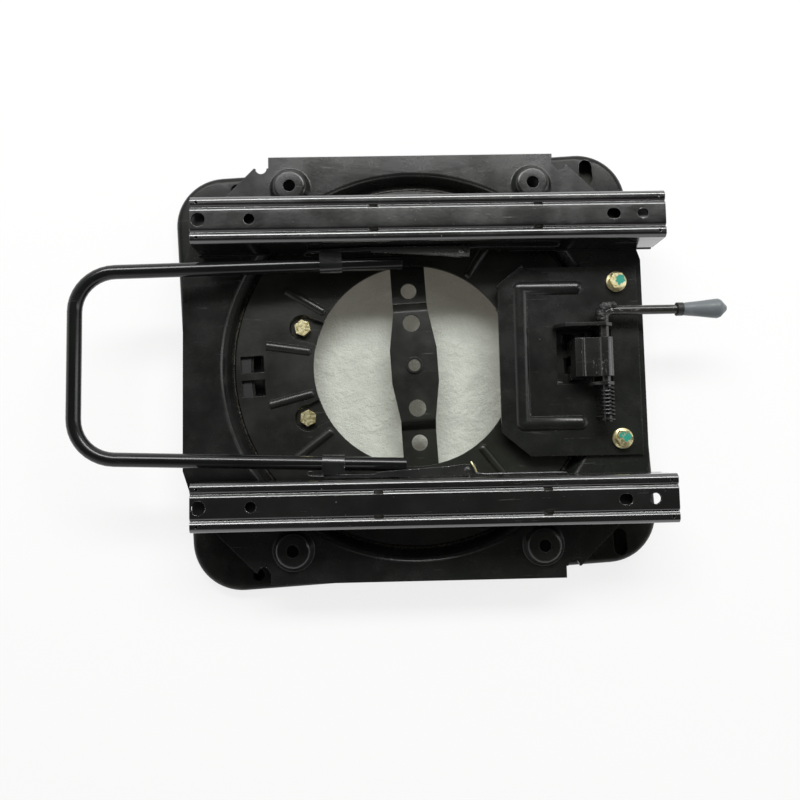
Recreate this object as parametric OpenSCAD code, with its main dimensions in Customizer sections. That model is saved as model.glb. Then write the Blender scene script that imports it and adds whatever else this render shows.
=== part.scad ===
// Swivel seat base for a camper: a base plate, a ball-bearing turntable held down by a
// retaining disc, a swivel lock, and two seat rails with a looped release bar.
// Millimetres, +Z up. The origin is on the swivel axis at the base plate's underside.
// The seat faces -X, so -Y is the sitter's left.

/* [Base plate] */
// Length of the base plate
base_l = 419; // [390:1:450]
// Width of the base plate
base_w = 379; // [360:1:420]
// Radius of the base plate's corners
base_corner_r = 45; // [30:1:60]
// Height of the base plate's top face
base_h = 14; // [12:0.5:20]
// Sheet thickness of the base plate
base_t = 2.5; // [2:0.1:3]
// Bend radius of the turned-down edge
base_edge_r = 5; // [3:0.5:6]
// Radius of the centre opening in the base plate
base_open_r = 92; // [86:0.5:94]
// Rise of the inner ring above the base plate's top face
ring_rise = 8; // [7:0.5:8]
// Turn of the base plate against the seat in the pose shown, degrees
base_turn = 3; // [1:0.5:4]
// Width of a mounting slot
slot_w = 12; // [8:0.5:14]
// Length of a mounting slot
slot_l = 24; // [16:1:26]
// Diameter of a mounting hole
base_hole_d = 10.5; // [8:0.5:13]

/* [Swivel bearing] */
// Diameter of a bearing ball
race_ball_d = 7.8; // [7.5:0.1:8.5]
// Radius of the ball circle
race_r = 153; // [151.5:0.5:154]
// Number of bearing balls
race_balls_n = 24; // [12:1:36]
// Radial play of a ball
ball_play = 0.1; // [0.05:0.01:0.1]

/* [Turntable] */
// Sheet thickness of the turntable
turn_t = 3; // [2.5:0.1:3.5]
// Half length of the turntable plate
turn_half_l = 203.5; // [200:0.5:206]
// Half width of the turntable plate between its flanges
turn_half_w = 178.5; // [177:0.5:180]
// Reach of the side flanges beyond the plate
flange_out = 10; // [6:0.5:12]
// Half length of the side flanges
flange_half_l = 127.5; // [120:0.5:129]
// Height of the turned-down side flanges
flange_h = 15; // [8:1:18]
// Radius of the turntable's round well at its rim
well_r = 171; // [168:0.5:172]
// Inner radius of the flange that runs on the balls
well_flange_r = 144; // [142:0.5:145]
// Depth of the well under the rim
well_depth = 13; // [12:0.5:16]
// Distance of a seat boss from the centre, lengthways
boss_x = 108; // [100:0.5:112]
// Distance of a seat boss from the centre, sideways
boss_y = 159.7; // [159:0.1:160.5]
// Height of a seat boss
boss_h = 8; // [4:0.5:10]
// Diameter of the hole in a seat boss
boss_hole_d = 10.6; // [8:0.1:12]

/* [Retaining disc] */
// Thickness of the retaining disc
disc_t = 3; // [2.5:0.1:3.5]
// Outer radius of the retaining disc
disc_r = 159; // [156:0.5:160]
// Radius of the hole in the retaining disc
disc_hole_r = 90; // [86:0.5:91]
// Radius of the bolt circle
disc_bolt_r = 105.5; // [104:0.5:108]
// Angle of a bolt from the length axis, degrees
disc_bolt_a = 22.5; // [21:0.5:26]
// Length of a lock slot
lock_slot_l = 20.7; // [18:0.1:22]
// Width of a lock slot
lock_slot_w = 14.7; // [14:0.1:16]
// Width of the bar between two lock slots
lock_slot_bar = 6.7; // [5:0.1:7]
// Distance of the lock slots from the centre
lock_slot_x = 144; // [143.5:0.1:144.5]

/* [Centre strap] */
// Width of the strap at its ends
strap_w = 31; // [26:0.5:36]
// Width of the strap at its middle
strap_mid_w = 42; // [38:0.5:48]
// Thickness of the strap
strap_t = 3; // [2:0.1:3.5]
// Rise of the strap's middle
strap_rise = 8; // [4:0.5:9]

/* [Seat rails] */
// Length of a rail
rail_l = 400; // [380:1:420]
// Distance between the two rails
rail_spacing = 239; // [238:0.5:240]
// Distance of the rails' middle from the swivel axis
rail_shift = 13; // [8:0.5:18]
// Half width of the upper rail over its sheet's middle
rail_side_y = 19.2; // [19:0.1:19.4]
// Sheet thickness of the upper rail
upper_t = 2; // [1.8:0.1:2.2]
// Sheet thickness of the lower rail
lower_t = 2.2; // [1.8:0.1:2.4]
// Height of the lower rail
lower_h = 31.9; // [30:0.1:34]
// Diameter of a rail ball
rail_ball_d = 5.9; // [5.5:0.1:6]
// Half width of the upper rail's flat web
web_half = 8.5; // [8:0.1:8.6]
// Distance of the grooves beside the web from its middle
groove_y = 10.6; // [10.5:0.1:10.7]
// Depth of the grooves under the ridges
groove_sink = 2.6; // [2:0.1:2.7]
// Diameter of the seat's bolt holes
seat_hole_d = 9; // [8:0.1:10]
// Diameter of the large hole at the rail's front
front_hole_d = 11.6; // [9:0.1:13]
// Distance of the front bolt hole from the rail's front end
seat_hole_front = 49.5; // [40:0.5:60]
// Distance of the rear bolt hole from the rail's rear end
seat_hole_rear = 19.5; // [15:0.5:25]

/* [Release bar] */
// Diameter of the release bar's tube
bar_d = 12; // [11:0.1:12.5]
// Wall of the tube
bar_wall = 1.5; // [1:0.1:2]
// Reach of the bar in front of its rear ends
bar_reach = 275; // [250:1:290]
// Bend radius of the bar's middle line
bar_bend_r = 34; // [26:0.5:40]
// Distance of the bar's rear ends inside the latch levers
bar_in = 7; // [6.6:0.1:8]
// Spread of a leg, degrees
bar_spread = 2.2; // [1.5:0.1:3]
// Rise of the bar towards its front, degrees
bar_pitch = 4.8; // [4.5:0.1:6]
// Height of the bar's rear ends
bar_z = 48; // [47.5:0.1:49]
// Sheet thickness of a latch lever
lever_t = 3; // [2.5:0.1:3.1]
// Diameter of a latch rivet
rivet_d = 6; // [5:0.1:7]

/* [Swivel lock] */
// Thickness of the lock plate
lock_t = 3; // [2.5:0.1:3.5]
// Half width of the lock plate
lock_half_w = 83.5; // [82:0.5:84]
// Distance of the lock plate's front edge from the swivel axis
lock_x0 = 74.5; // [72:0.5:80]
// Distance of the lock plate's rear edge from the swivel axis
lock_x1 = 198; // [194:0.5:199]
// Distance of the lock axle from the swivel axis
axle_x = 163.4; // [162.5:0.1:164]
// Height of the lock axle
axle_z = 55; // [54.5:0.1:57]
// Diameter of the axle and the lever rod
rod_d = 8; // [7:0.1:8.5]
// Radial play of the axle in the ears
axle_play = 0.06; // [0.04:0.01:0.1]
// Distance of the lever's rod from the length axis
rod_y = 41.3; // [40:0.1:44]
// Distance of the rod's rear end from the swivel axis
rod_end_x = 262; // [250:1:266]
// Length of the grip
grip_l = 38; // [30:1:44]
// Largest diameter of the grip
grip_d = 17; // [14:0.5:20]

/* [Hidden] */

$fn = 96;
bend_steps = 3;
wire_sides = 8;
over = 1;              // overrun of every cut
black = [0.13, 0.13, 0.13];
zinc = [0.78, 0.74, 0.58];
steel = [0.7, 0.7, 0.72];

// Heights of the bearing's layers
base_top = base_h;
ring_top = base_top + ring_rise;
ring_bottom = ring_top - base_t;
flange_z0 = base_top + race_ball_d + 2 * ball_play;
flange_z1 = flange_z0 + turn_t;
glide_t = 0.9;
glide_play = 0.1;
disc_z0 = max(flange_z1 + glide_play + glide_t, ring_top + disc_t);
disc_z1 = disc_z0 + disc_t;
rim_z1 = flange_z1 + well_depth;
rim_z0 = rim_z1 - turn_t;

// Machine screws, 8 mm
screw_r = 4;
screw_hole_r = 4.4;
screw_across = 13;
head_h = 5.3;
nut_h = 6.5;
nut_play = 0.05;
nut_hole_r = screw_r + nut_play;
screw_past_nut = 1.5;
chamfer_share = 0.12;

// Base plate
base_inset = 12;
base_lap = 2;
ring_foot = 4.5;
ring_inset = 3;
ring_foot_r = well_flange_r - ring_inset;
slot_x = 173.7;
slot_y = 171;
hole_x = 151.5;
hole_y = 176;

// Bearing cage
cage_half_w = 5.5;
cage_t = 1.6;
pocket_play = 0.2;
glide_in = 2;
glide_w = 12;

// Turntable
corner_sum = 319;      // a corner's 45 degree edge runs where x + y has this value
corner_in = 12.5;
corner_run = 38;
well_wall_run = 7;
well_bend_r = 4;
relief_r = 5;
relief_x = 134;
boss_top_r = 13;
boss_foot_r = 17.2;
boss_bend_r = 2.5;
boss_flat = 2;
boss_lap = 0.5;

// Retaining disc
pad_r = 10.5;
pad_draft = 2.5;
pad_wall = 2.5;
rib_r = 4.5;
rib_sink = 2.2;
rib_inset = 6;
rib_in_r = disc_hole_r + rib_inset;
rib_out_r = 133;
rib_angles = [145.5, 168.5, 191.5, 214.5, 11.5, -11.5, 55, -55];

// Centre strap
strap_half_l = 112;
crank_in = 49;
crank_out = 57;
taper_in = 15;
strap_holes_y = [69.2, 38.3];
strap_holes_r = [7.2, 7.7];
strap_mid_hole_r = 5.4;
strap_rim_w = 2;
strap_rim_h = 1.2;
strap_rivet_y = 102;
strap_rivet_x = 8;
strap_rivet_r = 3;
strap_rivet_head_r = 5.5;
strap_rivet_head_h = 2.2;
rivet_hole_play = 0.05;

// Rail sections, in the rail's own y and z over the turntable's rim
foot_half_w = 20.3;
neck_y = 9;
neck_z = 7.8;
flare_z = 13;
hat_y = 16;
rail_bend_r = 2;
rail_h = lower_h + rail_ball_d + 2 * ball_play + upper_t;
ridge_rise_run = 2.6;
ridge_round = 2.2;
access_hole_d = 17;       // in the lower rail, under the rearmost bolt hole
lip_z = 4.5;
lip_end_y = 12.9;
rail_x0 = rail_shift - rail_l / 2;
rail_x1 = rail_x0 + rail_l;
front_hole_at = 7;
slot_hole_at = 44;         // from the rail's rear end
slot_hole_l = 11.5;
stop_notches_at = [153.5, 292.5];
stop_notch_l = 7.5;
stop_notch_w = 2.6;
end_hole_r = 1.3;
end_hole_at = 5.5;
rail_top = rim_z1 + rail_h;
rack_pitch = 12;
rack_slot_l = 8.6;
rack_depth = 3.4;
rack_x0 = -126;
rack_n = 18;
foot_lead = 2;         // the lower rail's feet start this much ahead of the upper rail
window_x0 = -38;
window_x1 = -6;
window_h = 26;
rail_balls_x = [-130, -90, 90, 130];
rail_ball_y = 15;
rail_cage_half_l = 140;
rail_cage_half_w = 17.4;
rail_cage_t = 1;
rail_ball_z = rim_z1 + lower_h + ball_play + rail_ball_d / 2;

// Release bar and latch levers, for the rail on the +Y side
bar_steps = 10;
bar_sides = 20;
bar_rear_x = -10;
bar_r = bar_d / 2;
rail_in_y = rail_spacing / 2 - rail_side_y - upper_t / 2;
lever_gap = 1.3;
lever_y1 = rail_in_y - lever_gap;
lever_y0 = lever_y1 - lever_t;
bar_half = lever_y0 - bar_in;
bar_front_half = bar_half - bar_bend_r * cos(bar_spread)
    - (bar_reach - bar_bend_r * (1 - sin(bar_spread))) * tan(bar_spread);
clip_x = -72;
clip_l = 19;
clip_t = 1.5;
clip_play = 0.05;
clip_lap = 9;
latch_x = 41.5;
latch_z = 56.5;
lever_x0 = -91;
lever_x1 = 48;
lever_top = 63.5;
lever_foot = 51;
lever_flange_t = 2.5;
lever_nose = 6;
lever_flange_x0 = -36;
finger_x = -20;
finger_l = 8;
finger_t = 4;
finger_clear = 0.3;
finger_reach = 2.6;
lever_flange_w = 9.5;
lug_l = 10;
lug_x = 26;
lug_share = 0.85;
latch_play = 0.05;
rivet_head_r = 4.4;
rivet_head_h = 1.8;
pin_head_r = 2.6;
pin_head_h = 1.2;
pin_at = [41, 4.5];
wire_r = 0.9;
wire_hole_r = 1.6;
wire_hook_x = 126;
wire_hook_z = 59;

// Swivel lock
lock_z0 = rim_z1;
lock_z1 = lock_z0 + lock_t;
lock_cut_x = 25;
lock_cut_y = 21;
lock_bolt_x = 179.7;
lock_bolt_y = 69.3;
bead_r = 8;
bead_sink = 5;
bead_x = 94;
bead_end_x = 144;
bead_y = [65, -55];
win_x0 = 125;
win_x1 = 173.5;
win_y0 = -20.5;
win_y1 = 27.5;
ear_t = 3;
ear_top_r = 7;
ear_far_x0 = 122;
ear_near_x0 = 149;
ear_back = 7;
tab_l = 30;
tab_w = 11;
tab_t = 2.5;
tab_tilt = 22;
rod_r = rod_d / 2;
rod_bend_r = 7;
rod_near_end = -55;
pawl_y0 = -16;
pawl_y1 = 17.5;
pawl_half_l = 7;
pawl_x0 = lock_slot_x - pawl_half_l;
pawl_x1 = lock_slot_x + pawl_half_l;
hub_wall = 3;
pawl_play = 0.05;
pawl_top = 3;
pawl_arm_t = 5;
pawl_shoulder = 12;
ride_clear = 0.3;
tooth_side_play = 0.9;
pawl_bead_r = 1.6;
coil_r = 5.9;
coil_wire_r = 0.95;
coil_turns = 7.5;
coil_y0 = -26;
coil_y1 = -50;
coil_steps = 20;
clip_ring_t = 1.2;
clip_ring_w = 2.6;
clip_groove_play = 0.05;
flange_head_r = 9;
flange_head_h = 1.8;
flange_cone_h = 1.4;
flange_hex_h = 5.2;
collar_l = 5;
collar_wall = 1.8;
nose_l = 8;
grip_shares = [0.62, 0.66, 0.8, 0.97, 1, 0.9];
grip_at_shares = [0, 0.06, 0.4, 0.72, 0.8, 0.86];
nose_share = 0.3;

// Geometry of folded sheet: a path is the middle line of the sheet
function unit(v) = v / norm(v);
function left_of(v) = [-v.y, v.x];
function run(path, i) = unit(path[i + 1] - path[i]);
function mitre(path, i) =
    let (last = len(path) - 2,
        a = left_of(run(path, max(i - 1, 0))),
        b = left_of(run(path, min(i, last))))
    (a + b) / (1 + a * b);
function shifted(path, by) = [for (i = [0 : len(path) - 1]) path[i] + mitre(path, i) * by];
function reversed(path) = [for (i = [len(path) - 1 : -1 : 0]) path[i]];
function strip(path, t) = concat(shifted(path, t / 2), reversed(shifted(path, -t / 2)));
function curve(a, corner, b, q) = (1 - q) * (1 - q) * a + 2 * q * (1 - q) * corner + q * q * b;
function bent(path, r) = concat([path[0]],
    [for (i = [1 : len(path) - 2])
        let (a = run(path, i - 1),
            b = run(path, i),
            cut = r * tan(acos(min(a * b, 1)) / 2))
        each [for (k = [0 : bend_steps])
            curve(path[i] - a * cut, path[i], path[i] + b * cut, k / bend_steps)]],
    [path[len(path) - 1]]);
function flipped(path) = [for (p = path) [-p.x, p.y]];
function both_halves(half) = concat(reversed(flipped(half)), half);

// Extrudes a section drawn in y and z along x
module along_x(x0, x1) {
    translate([x0, 0, 0]) rotate([90, 0, 90]) linear_extrude(x1 - x0) children();
}

// Extrudes a section drawn in x and z along y
module along_y(y0, y1) {
    translate([0, y1, 0]) rotate([90, 0, 0]) linear_extrude(y1 - y0) children();
}

module ring(r_out, r_in, z0, z1) {
    translate([0, 0, z0]) difference() {
        cylinder(r = r_out, h = z1 - z0);
        translate([0, 0, -over]) cylinder(r = r_in, h = z1 - z0 + 2 * over);
    }
}

module hole(x, y, r, z0, z1) {
    translate([x, y, z0 - over]) cylinder(r = r, h = z1 - z0 + 2 * over);
}

module hex_prism(across, z0, z1) {
    translate([0, 0, z0]) cylinder(d = across / cos(30), h = z1 - z0, $fn = 6);
}

// Bent rod as a swept round section; ref is a direction that the path never runs along
module swept(path, r, ref, sides) {
    n = len(path);
    points = [for (i = [0 : n - 1])
        let (t = unit(path[min(i + 1, n - 1)] - path[max(i - 1, 0)]),
            a = unit(cross(t, ref)),
            b = cross(t, a))
        each [for (k = [0 : sides - 1])
            path[i] + r * (cos(360 * k / sides) * a + sin(360 * k / sides) * b)]];
    walls = [for (i = [0 : n - 2], k = [0 : sides - 1])
        let (a = i * sides + k, b = i * sides + (k + 1) % sides)
        each [[a, a + sides, b], [b, a + sides, b + sides]]];
    first = [for (k = [0 : sides - 1]) k];
    last = [for (k = [sides - 1 : -1 : 0]) (n - 1) * sides + k];
    polyhedron(points, concat([first], walls, [last]));
}

// Turns the base and what is bolted to it into the pose shown
module with_base() {
    rotate([0, 0, base_turn]) children();
}

// Mirrors a +Y piece to the other side: side is 1 or -1
module on_side(side) {
    mirror([0, side < 0 ? 1 : 0, 0]) children();
}

// A hexagon bolt hanging down from z = 0, its head above
module hex_bolt(shank_l) {
    intersection() {
        hex_prism(screw_across, 0, head_h);
        cylinder(r1 = screw_across, r2 = screw_across / 2, h = head_h * (1 + chamfer_share));
    }
    translate([0, 0, -shank_l]) cylinder(r = screw_r, h = shank_l + head_h / 2);
}

module hex_nut() {
    difference() {
        translate([0, 0, -nut_h]) hex_prism(screw_across, 0, nut_h);
        translate([0, 0, -nut_h - over]) cylinder(r = nut_hole_r, h = nut_h + 2 * over);
    }
}

module at_disc_bolts() {
    for (a = [disc_bolt_a, -disc_bolt_a, 180 - disc_bolt_a, 180 + disc_bolt_a])
        rotate([0, 0, a]) translate([disc_bolt_r, 0, 0]) children();
}

module at_strap_rivets() {
    for (x = [-strap_rivet_x, strap_rivet_x], y = [-strap_rivet_y, strap_rivet_y])
        translate([x, y, 0]) children();
}

// Base plate: a pressed tray turned down all round, with a raised ring at its middle

module base_edge() {
    edge = [[-base_t / 2, 0], [-base_t / 2, base_top - base_t / 2],
        [-base_inset - base_lap, base_top - base_t / 2]];
    section = strip(bent(edge, base_edge_r), base_t);
    flat_l = base_l - 2 * base_corner_r;
    flat_w = base_w - 2 * base_corner_r;
    for (turn = [0, 180]) {
        rotate([0, 0, turn]) translate([base_l / 2, 0, 0])
            along_y(-flat_w / 2, flat_w / 2) polygon(section);
        rotate([0, 0, turn + 90]) translate([base_w / 2, 0, 0])
            along_y(-flat_l / 2, flat_l / 2) polygon(section);
    }
    for (q = [0 : 3]) {
        sx = q == 0 || q == 3 ? 1 : -1;
        sy = q < 2 ? 1 : -1;
        translate([sx * flat_l / 2, sy * flat_w / 2, 0]) rotate([0, 0, 90 * q])
            rotate_extrude(angle = 90) translate([base_corner_r, 0]) polygon(section);
    }
}

module base_field() {
    half_l = base_l / 2 - base_inset;
    half_w = base_w / 2 - base_inset;
    r = base_corner_r - base_inset;
    translate([0, 0, base_top - base_t]) linear_extrude(base_t) difference() {
        union() {
            square([2 * half_l, 2 * (half_w - r)], center = true);
            square([2 * (half_l - r), 2 * half_w], center = true);
            for (x = [r - half_l, half_l - r], y = [r - half_w, half_w - r])
                translate([x, y]) circle(r);
        }
        circle(ring_foot_r + ring_foot / 2);
    }
}

module base_plate() {
    ring_path = [[base_open_r, ring_top - base_t / 2],
        [ring_foot_r - ring_foot - ring_rise / 2, ring_top - base_t / 2],
        [ring_foot_r - ring_foot / 2, base_top - base_t / 2],
        [ring_foot_r + ring_foot, base_top - base_t / 2]];
    with_base() color(black) difference() {
        union() {
            base_edge();
            base_field();
            rotate_extrude() polygon(strip(bent(ring_path, base_t), base_t));
        }
        at_disc_bolts() hole(0, 0, screw_hole_r, ring_bottom, ring_top);
        at_strap_rivets() hole(0, 0, strap_rivet_r + rivet_hole_play, ring_bottom, ring_top);
        for (side = [-1, 1]) {
            hole(-hole_x, side * hole_y, base_hole_d / 2, base_top - base_t, base_top);
            for (end = [-1, 1])
                hole(slot_x, side * slot_y + end * (slot_l - slot_w) / 2, slot_w / 2,
                    base_top - base_t, base_top);
            translate([slot_x - slot_w / 2, side * slot_y - (slot_l - slot_w) / 2, base_top - base_t - over])
                cube([slot_w, slot_l - slot_w, base_t + 2 * over]);
        }
    }
}

// Swivel bearing: balls in a cage between the base plate and the turntable's flange

module at_race_balls() {
    for (i = [0 : race_balls_n - 1])
        rotate([0, 0, 360 * (i + 1 / 2) / race_balls_n]) translate([race_r, 0, 0]) children();
}

module race_balls() {
    color(steel) at_race_balls()
        translate([0, 0, base_top + ball_play + race_ball_d / 2]) sphere(d = race_ball_d);
}

module ball_cage() {
    mid = base_top + ball_play + race_ball_d / 2;
    color([0.62, 0.5, 0.25]) difference() {
        ring(race_r + cage_half_w, race_r - cage_half_w, mid - cage_t / 2, mid + cage_t / 2);
        at_race_balls() hole(0, 0, race_ball_d / 2 + pocket_play, mid - cage_t / 2, mid + cage_t / 2);
    }
}

module glide_ring() {
    color([0.85, 0.84, 0.8])
        ring(well_flange_r + glide_in + glide_w, well_flange_r + glide_in, disc_z0 - glide_t, disc_z0);
}

// Retaining disc: holds the turntable's flange down on the balls

module pad_shape(grow) {
    cylinder(r1 = pad_r + grow, r2 = pad_r + grow + pad_draft, h = disc_z1 - ring_top + over);
    translate([-disc_bolt_r, -pad_r - grow, 0])
        cube([disc_bolt_r, 2 * (pad_r + grow), disc_z1 - ring_top + over]);
}

module disc_rib() {
    translate([0, 0, disc_z1 - rib_sink]) {
        translate([rib_in_r, 0, 0]) rotate([0, 90, 0]) cylinder(r = rib_r, h = rib_out_r - rib_in_r);
        translate([rib_in_r, 0, 0]) sphere(rib_r);
        translate([rib_out_r - rib_r, 0, 0]) sphere(rib_r);
    }
}

module retaining_disc() {
    with_base() color(black) difference() {
        union() {
            difference() {
                ring(disc_r, disc_hole_r, disc_z0, disc_z1);
                at_disc_bolts() translate([0, 0, ring_top]) pad_shape(pad_wall / 2);
            }
            intersection() {
                ring(disc_r, disc_hole_r, ring_top, disc_z1);
                at_disc_bolts() translate([0, 0, ring_top]) difference() {
                    pad_shape(pad_wall);
                    translate([0, 0, disc_t]) pad_shape(0);
                }
            }
            intersection() {
                ring(disc_r, disc_hole_r, disc_z0 + disc_t / 2, disc_z1 + rib_r);
                for (a = rib_angles) rotate([0, 0, a]) disc_rib();
            }
        }
        at_disc_bolts() hole(0, 0, screw_hole_r, ring_top, ring_top + disc_t);
        for (end = [-1, 1], side = [-1, 1])
            translate([end * lock_slot_x, side * (lock_slot_bar + lock_slot_w) / 2, disc_z0])
                cube([lock_slot_l, lock_slot_w, 3 * disc_t], center = true);
    }
}

module disc_bolts() {
    grip = ring_top + disc_t - ring_bottom + nut_h + screw_past_nut;
    with_base() color(zinc) at_disc_bolts()
        translate([0, 0, ring_top + disc_t]) hex_bolt(grip);
}

module disc_nuts() {
    with_base() color(zinc) at_disc_bolts() translate([0, 0, ring_bottom]) hex_nut();
}

// Centre strap: a cranked strap across the opening, riveted under the base plate's ring

module strap_outline() {
    half = [[strap_w / 2, -strap_half_l], [strap_w / 2, -crank_in], [strap_mid_w / 2, -taper_in],
        [strap_mid_w / 2, taper_in], [strap_w / 2, crank_in], [strap_w / 2, strap_half_l]];
    polygon(concat(half, reversed(flipped(half))));
}

module centre_strap() {
    low = ring_bottom - strap_t / 2;
    path = [[-strap_half_l, low], [-crank_out, low], [-crank_in, low + strap_rise],
        [crank_in, low + strap_rise], [crank_out, low], [strap_half_l, low]];
    mid_z = low + strap_rise + strap_t / 2;
    with_base() color(black) difference() {
        union() {
            intersection() {
                along_x(-strap_mid_w, strap_mid_w) polygon(strip(bent(path, strap_t), strap_t));
                linear_extrude(mid_z + strap_rise) strap_outline();
            }
            ring(strap_mid_hole_r + strap_rim_w, strap_mid_hole_r, mid_z - strap_t / 2, mid_z + strap_rim_h);
        }
        hole(0, 0, strap_mid_hole_r, low, mid_z + strap_rim_h);
        for (i = [0, 1], end = [-1, 1])
            hole(0, end * strap_holes_y[i], strap_holes_r[i], low - strap_t, mid_z);
        at_strap_rivets() hole(0, 0, strap_rivet_r + rivet_hole_play, low - strap_t, low + strap_t);
    }
}

module strap_rivets() {
    with_base() color(steel) at_strap_rivets() {
        translate([0, 0, ring_bottom - strap_t]) cylinder(r = strap_rivet_r, h = strap_t + base_t);
        translate([0, 0, ring_top])
            cylinder(r1 = strap_rivet_head_r, r2 = strap_rivet_r, h = strap_rivet_head_h);
        translate([0, 0, ring_bottom - strap_t - strap_rivet_head_h])
            cylinder(r1 = strap_rivet_r, r2 = strap_rivet_head_r, h = strap_rivet_head_h);
    }
}

// Turntable: a pressed plate with a round well whose floor flange runs on the balls

module turntable_outline() {
    cut_x = turn_half_l - corner_in;
    cut_y = corner_sum - cut_x;
    half = [[turn_half_l, cut_y - corner_run], [cut_x, cut_y], [corner_sum - turn_half_w, turn_half_w],
        [flange_half_l, turn_half_w], [flange_half_l, turn_half_w + flange_out]];
    quarter_up = concat(half, reversed(flipped(half)));
    polygon(concat(quarter_up, reversed([for (p = quarter_up) [p.x, -p.y]])));
}

module at_bosses() {
    for (x = [-boss_x, boss_x], y = [-boss_y, boss_y]) translate([x, y, 0]) children();
}

module boss() {
    top = rim_z1 + boss_h - turn_t / 2;
    path = [[boss_hole_d / 2, top], [boss_top_r, top], [boss_foot_r, rim_z1 - turn_t / 2],
        [boss_foot_r + boss_flat, rim_z1 - turn_t / 2]];
    rotate_extrude() polygon(strip(bent(path, boss_bend_r), turn_t));
}

module side_flanges() {
    out = turn_half_w + flange_out;
    for (side = [0, 1]) mirror([0, side, 0])
        translate([-flange_half_l, out - turn_t, rim_z1 - flange_h])
            cube([2 * flange_half_l, turn_t, flange_h]);
}

module turntable_plate() {
    well_path = [[well_r + well_bend_r + turn_t, rim_z1 - turn_t / 2], [well_r, rim_z1 - turn_t / 2],
        [well_r - well_wall_run, flange_z0 + turn_t / 2], [well_flange_r, flange_z0 + turn_t / 2]];
    color(black) difference() {
        union() {
            difference() {
                translate([0, 0, rim_z0]) linear_extrude(turn_t) turntable_outline();
                hole(0, 0, well_r + well_bend_r, rim_z0, rim_z1);
                at_bosses() hole(0, 0, boss_foot_r + boss_flat - boss_lap, rim_z0, rim_z1);
            }
            rotate_extrude() polygon(strip(bent(well_path, well_bend_r), turn_t));
            at_bosses() boss();
            side_flanges();
        }
        at_bosses() hole(0, 0, boss_hole_d / 2, rim_z1, rim_z1 + boss_h);
        for (x = [-relief_x, relief_x], y = [-turn_half_w, turn_half_w])
            hole(x, y, relief_r, rim_z0, rim_z1);
        for (y = [-lock_bolt_y, lock_bolt_y]) hole(lock_bolt_x, y, screw_hole_r, rim_z0, rim_z1);
    }
}

// Seat rails: the lower rail is a waisted hat section, the upper rail is folded round it

module lower_rail(side) {
    t = lower_t;
    half = [[hat_y, lower_h - t / 2], [hat_y, flare_z], [neck_y, neck_z], [neck_y, t / 2],
        [foot_half_w, t / 2]];
    color(black) on_side(side) translate([0, rail_spacing / 2, rim_z1]) difference() {
        union() {
            along_x(rail_x0, rail_x1) polygon(strip(bent(both_halves(half), rail_bend_r), t));
            for (foot = [-foot_half_w, neck_y + t]) translate([rail_x0 - foot_lead, foot, 0])
                cube([foot_lead + over, foot_half_w - neck_y - t, t]);
        }
        hole(rail_x1 - seat_hole_rear, 0, access_hole_d / 2, lower_h - t, lower_h);
        for (i = [0 : rack_n - 1])
            translate([rack_x0 + i * rack_pitch, -foot_half_w - over, -over])
                cube([rack_slot_l, rack_depth + over, t + 2 * over]);
    }
}

module upper_rail(side) {
    t = upper_t;
    web_z = rail_h - t / 2;
    groove_z = web_z - groove_sink;
    half = [[web_half, web_z], [groove_y, groove_z], [groove_y + ridge_rise_run, web_z],
        [rail_side_y - ridge_round, web_z], [rail_side_y, web_z - ridge_round],
        [rail_side_y, lip_z], [lip_end_y, lip_z]];
    color(black) on_side(side) translate([0, rail_spacing / 2, rim_z1]) difference() {
        along_x(rail_x0, rail_x1) polygon(strip(bent(both_halves(half), rail_bend_r), t));
        hole(rail_x0 + front_hole_at, 0, front_hole_d / 2, web_z, web_z);
        hole(rail_x0 + seat_hole_front, 0, seat_hole_d / 2, web_z, web_z);
        hole(rail_x1 - seat_hole_rear, 0, seat_hole_d / 2, web_z, web_z);
        for (x = [seat_hole_d - slot_hole_l, slot_hole_l - seat_hole_d])
            hole(rail_x1 - slot_hole_at + x / 2, 0, seat_hole_d / 2, web_z, web_z);
        translate([rail_x1 - slot_hole_at - (slot_hole_l - seat_hole_d) / 2, -seat_hole_d / 2, web_z - t])
            cube([slot_hole_l - seat_hole_d, seat_hole_d, 2 * t]);
        for (x = stop_notches_at, end = [-1, 1])
            translate([rail_x0 + x, end * (groove_y - t / 2), groove_z])
                cube([stop_notch_l, stop_notch_w, 4 * t], center = true);
        for (x = [rail_x0 + end_hole_at, rail_x1 - end_hole_at], end = [-1, 1])
            hole(x, end * rail_ball_y, end_hole_r, web_z, web_z);
        translate([window_x0, -rail_side_y - t, 0])
            cube([window_x1 - window_x0, rail_side_y - lip_end_y + t, window_h]);
        translate([latch_x, over - rail_side_y, latch_z - rim_z1]) rotate([90, 0, 0])
            cylinder(r = rivet_d / 2 + latch_play, h = 2 * t);
        translate([wire_hook_x, over - rail_side_y, wire_hook_z - rim_z1]) rotate([90, 0, 0])
            cylinder(r = wire_hole_r, h = 2 * t);
    }
}

module at_rail_balls() {
    for (x = rail_balls_x, y = [-rail_ball_y, rail_ball_y]) translate([rail_shift + x, y, 0]) children();
}

module rail_balls(side) {
    color(steel) on_side(side) translate([0, rail_spacing / 2, rail_ball_z])
        at_rail_balls() sphere(d = rail_ball_d);
}

module rail_cage(side) {
    under_groove = rail_h - groove_sink - upper_t;
    mid = rim_z1 + (lower_h + under_groove) / 2;
    chord_r = sqrt(pow(rail_ball_d / 2, 2) - pow(min(rail_ball_z - mid - rail_cage_t / 2, 0), 2));
    color([0.85, 0.84, 0.8]) on_side(side) translate([0, rail_spacing / 2, 0]) difference() {
        translate([rail_shift - rail_cage_half_l, -rail_cage_half_w, mid - rail_cage_t / 2])
            cube([2 * rail_cage_half_l, 2 * rail_cage_half_w, rail_cage_t]);
        at_rail_balls() hole(0, 0, chord_r + pocket_play / 2, mid - rail_cage_t / 2, mid + rail_cage_t / 2);
    }
}

// Swivel lock: a plate bolted to the turntable with two ears, an axle and a sprung pawl

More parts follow.
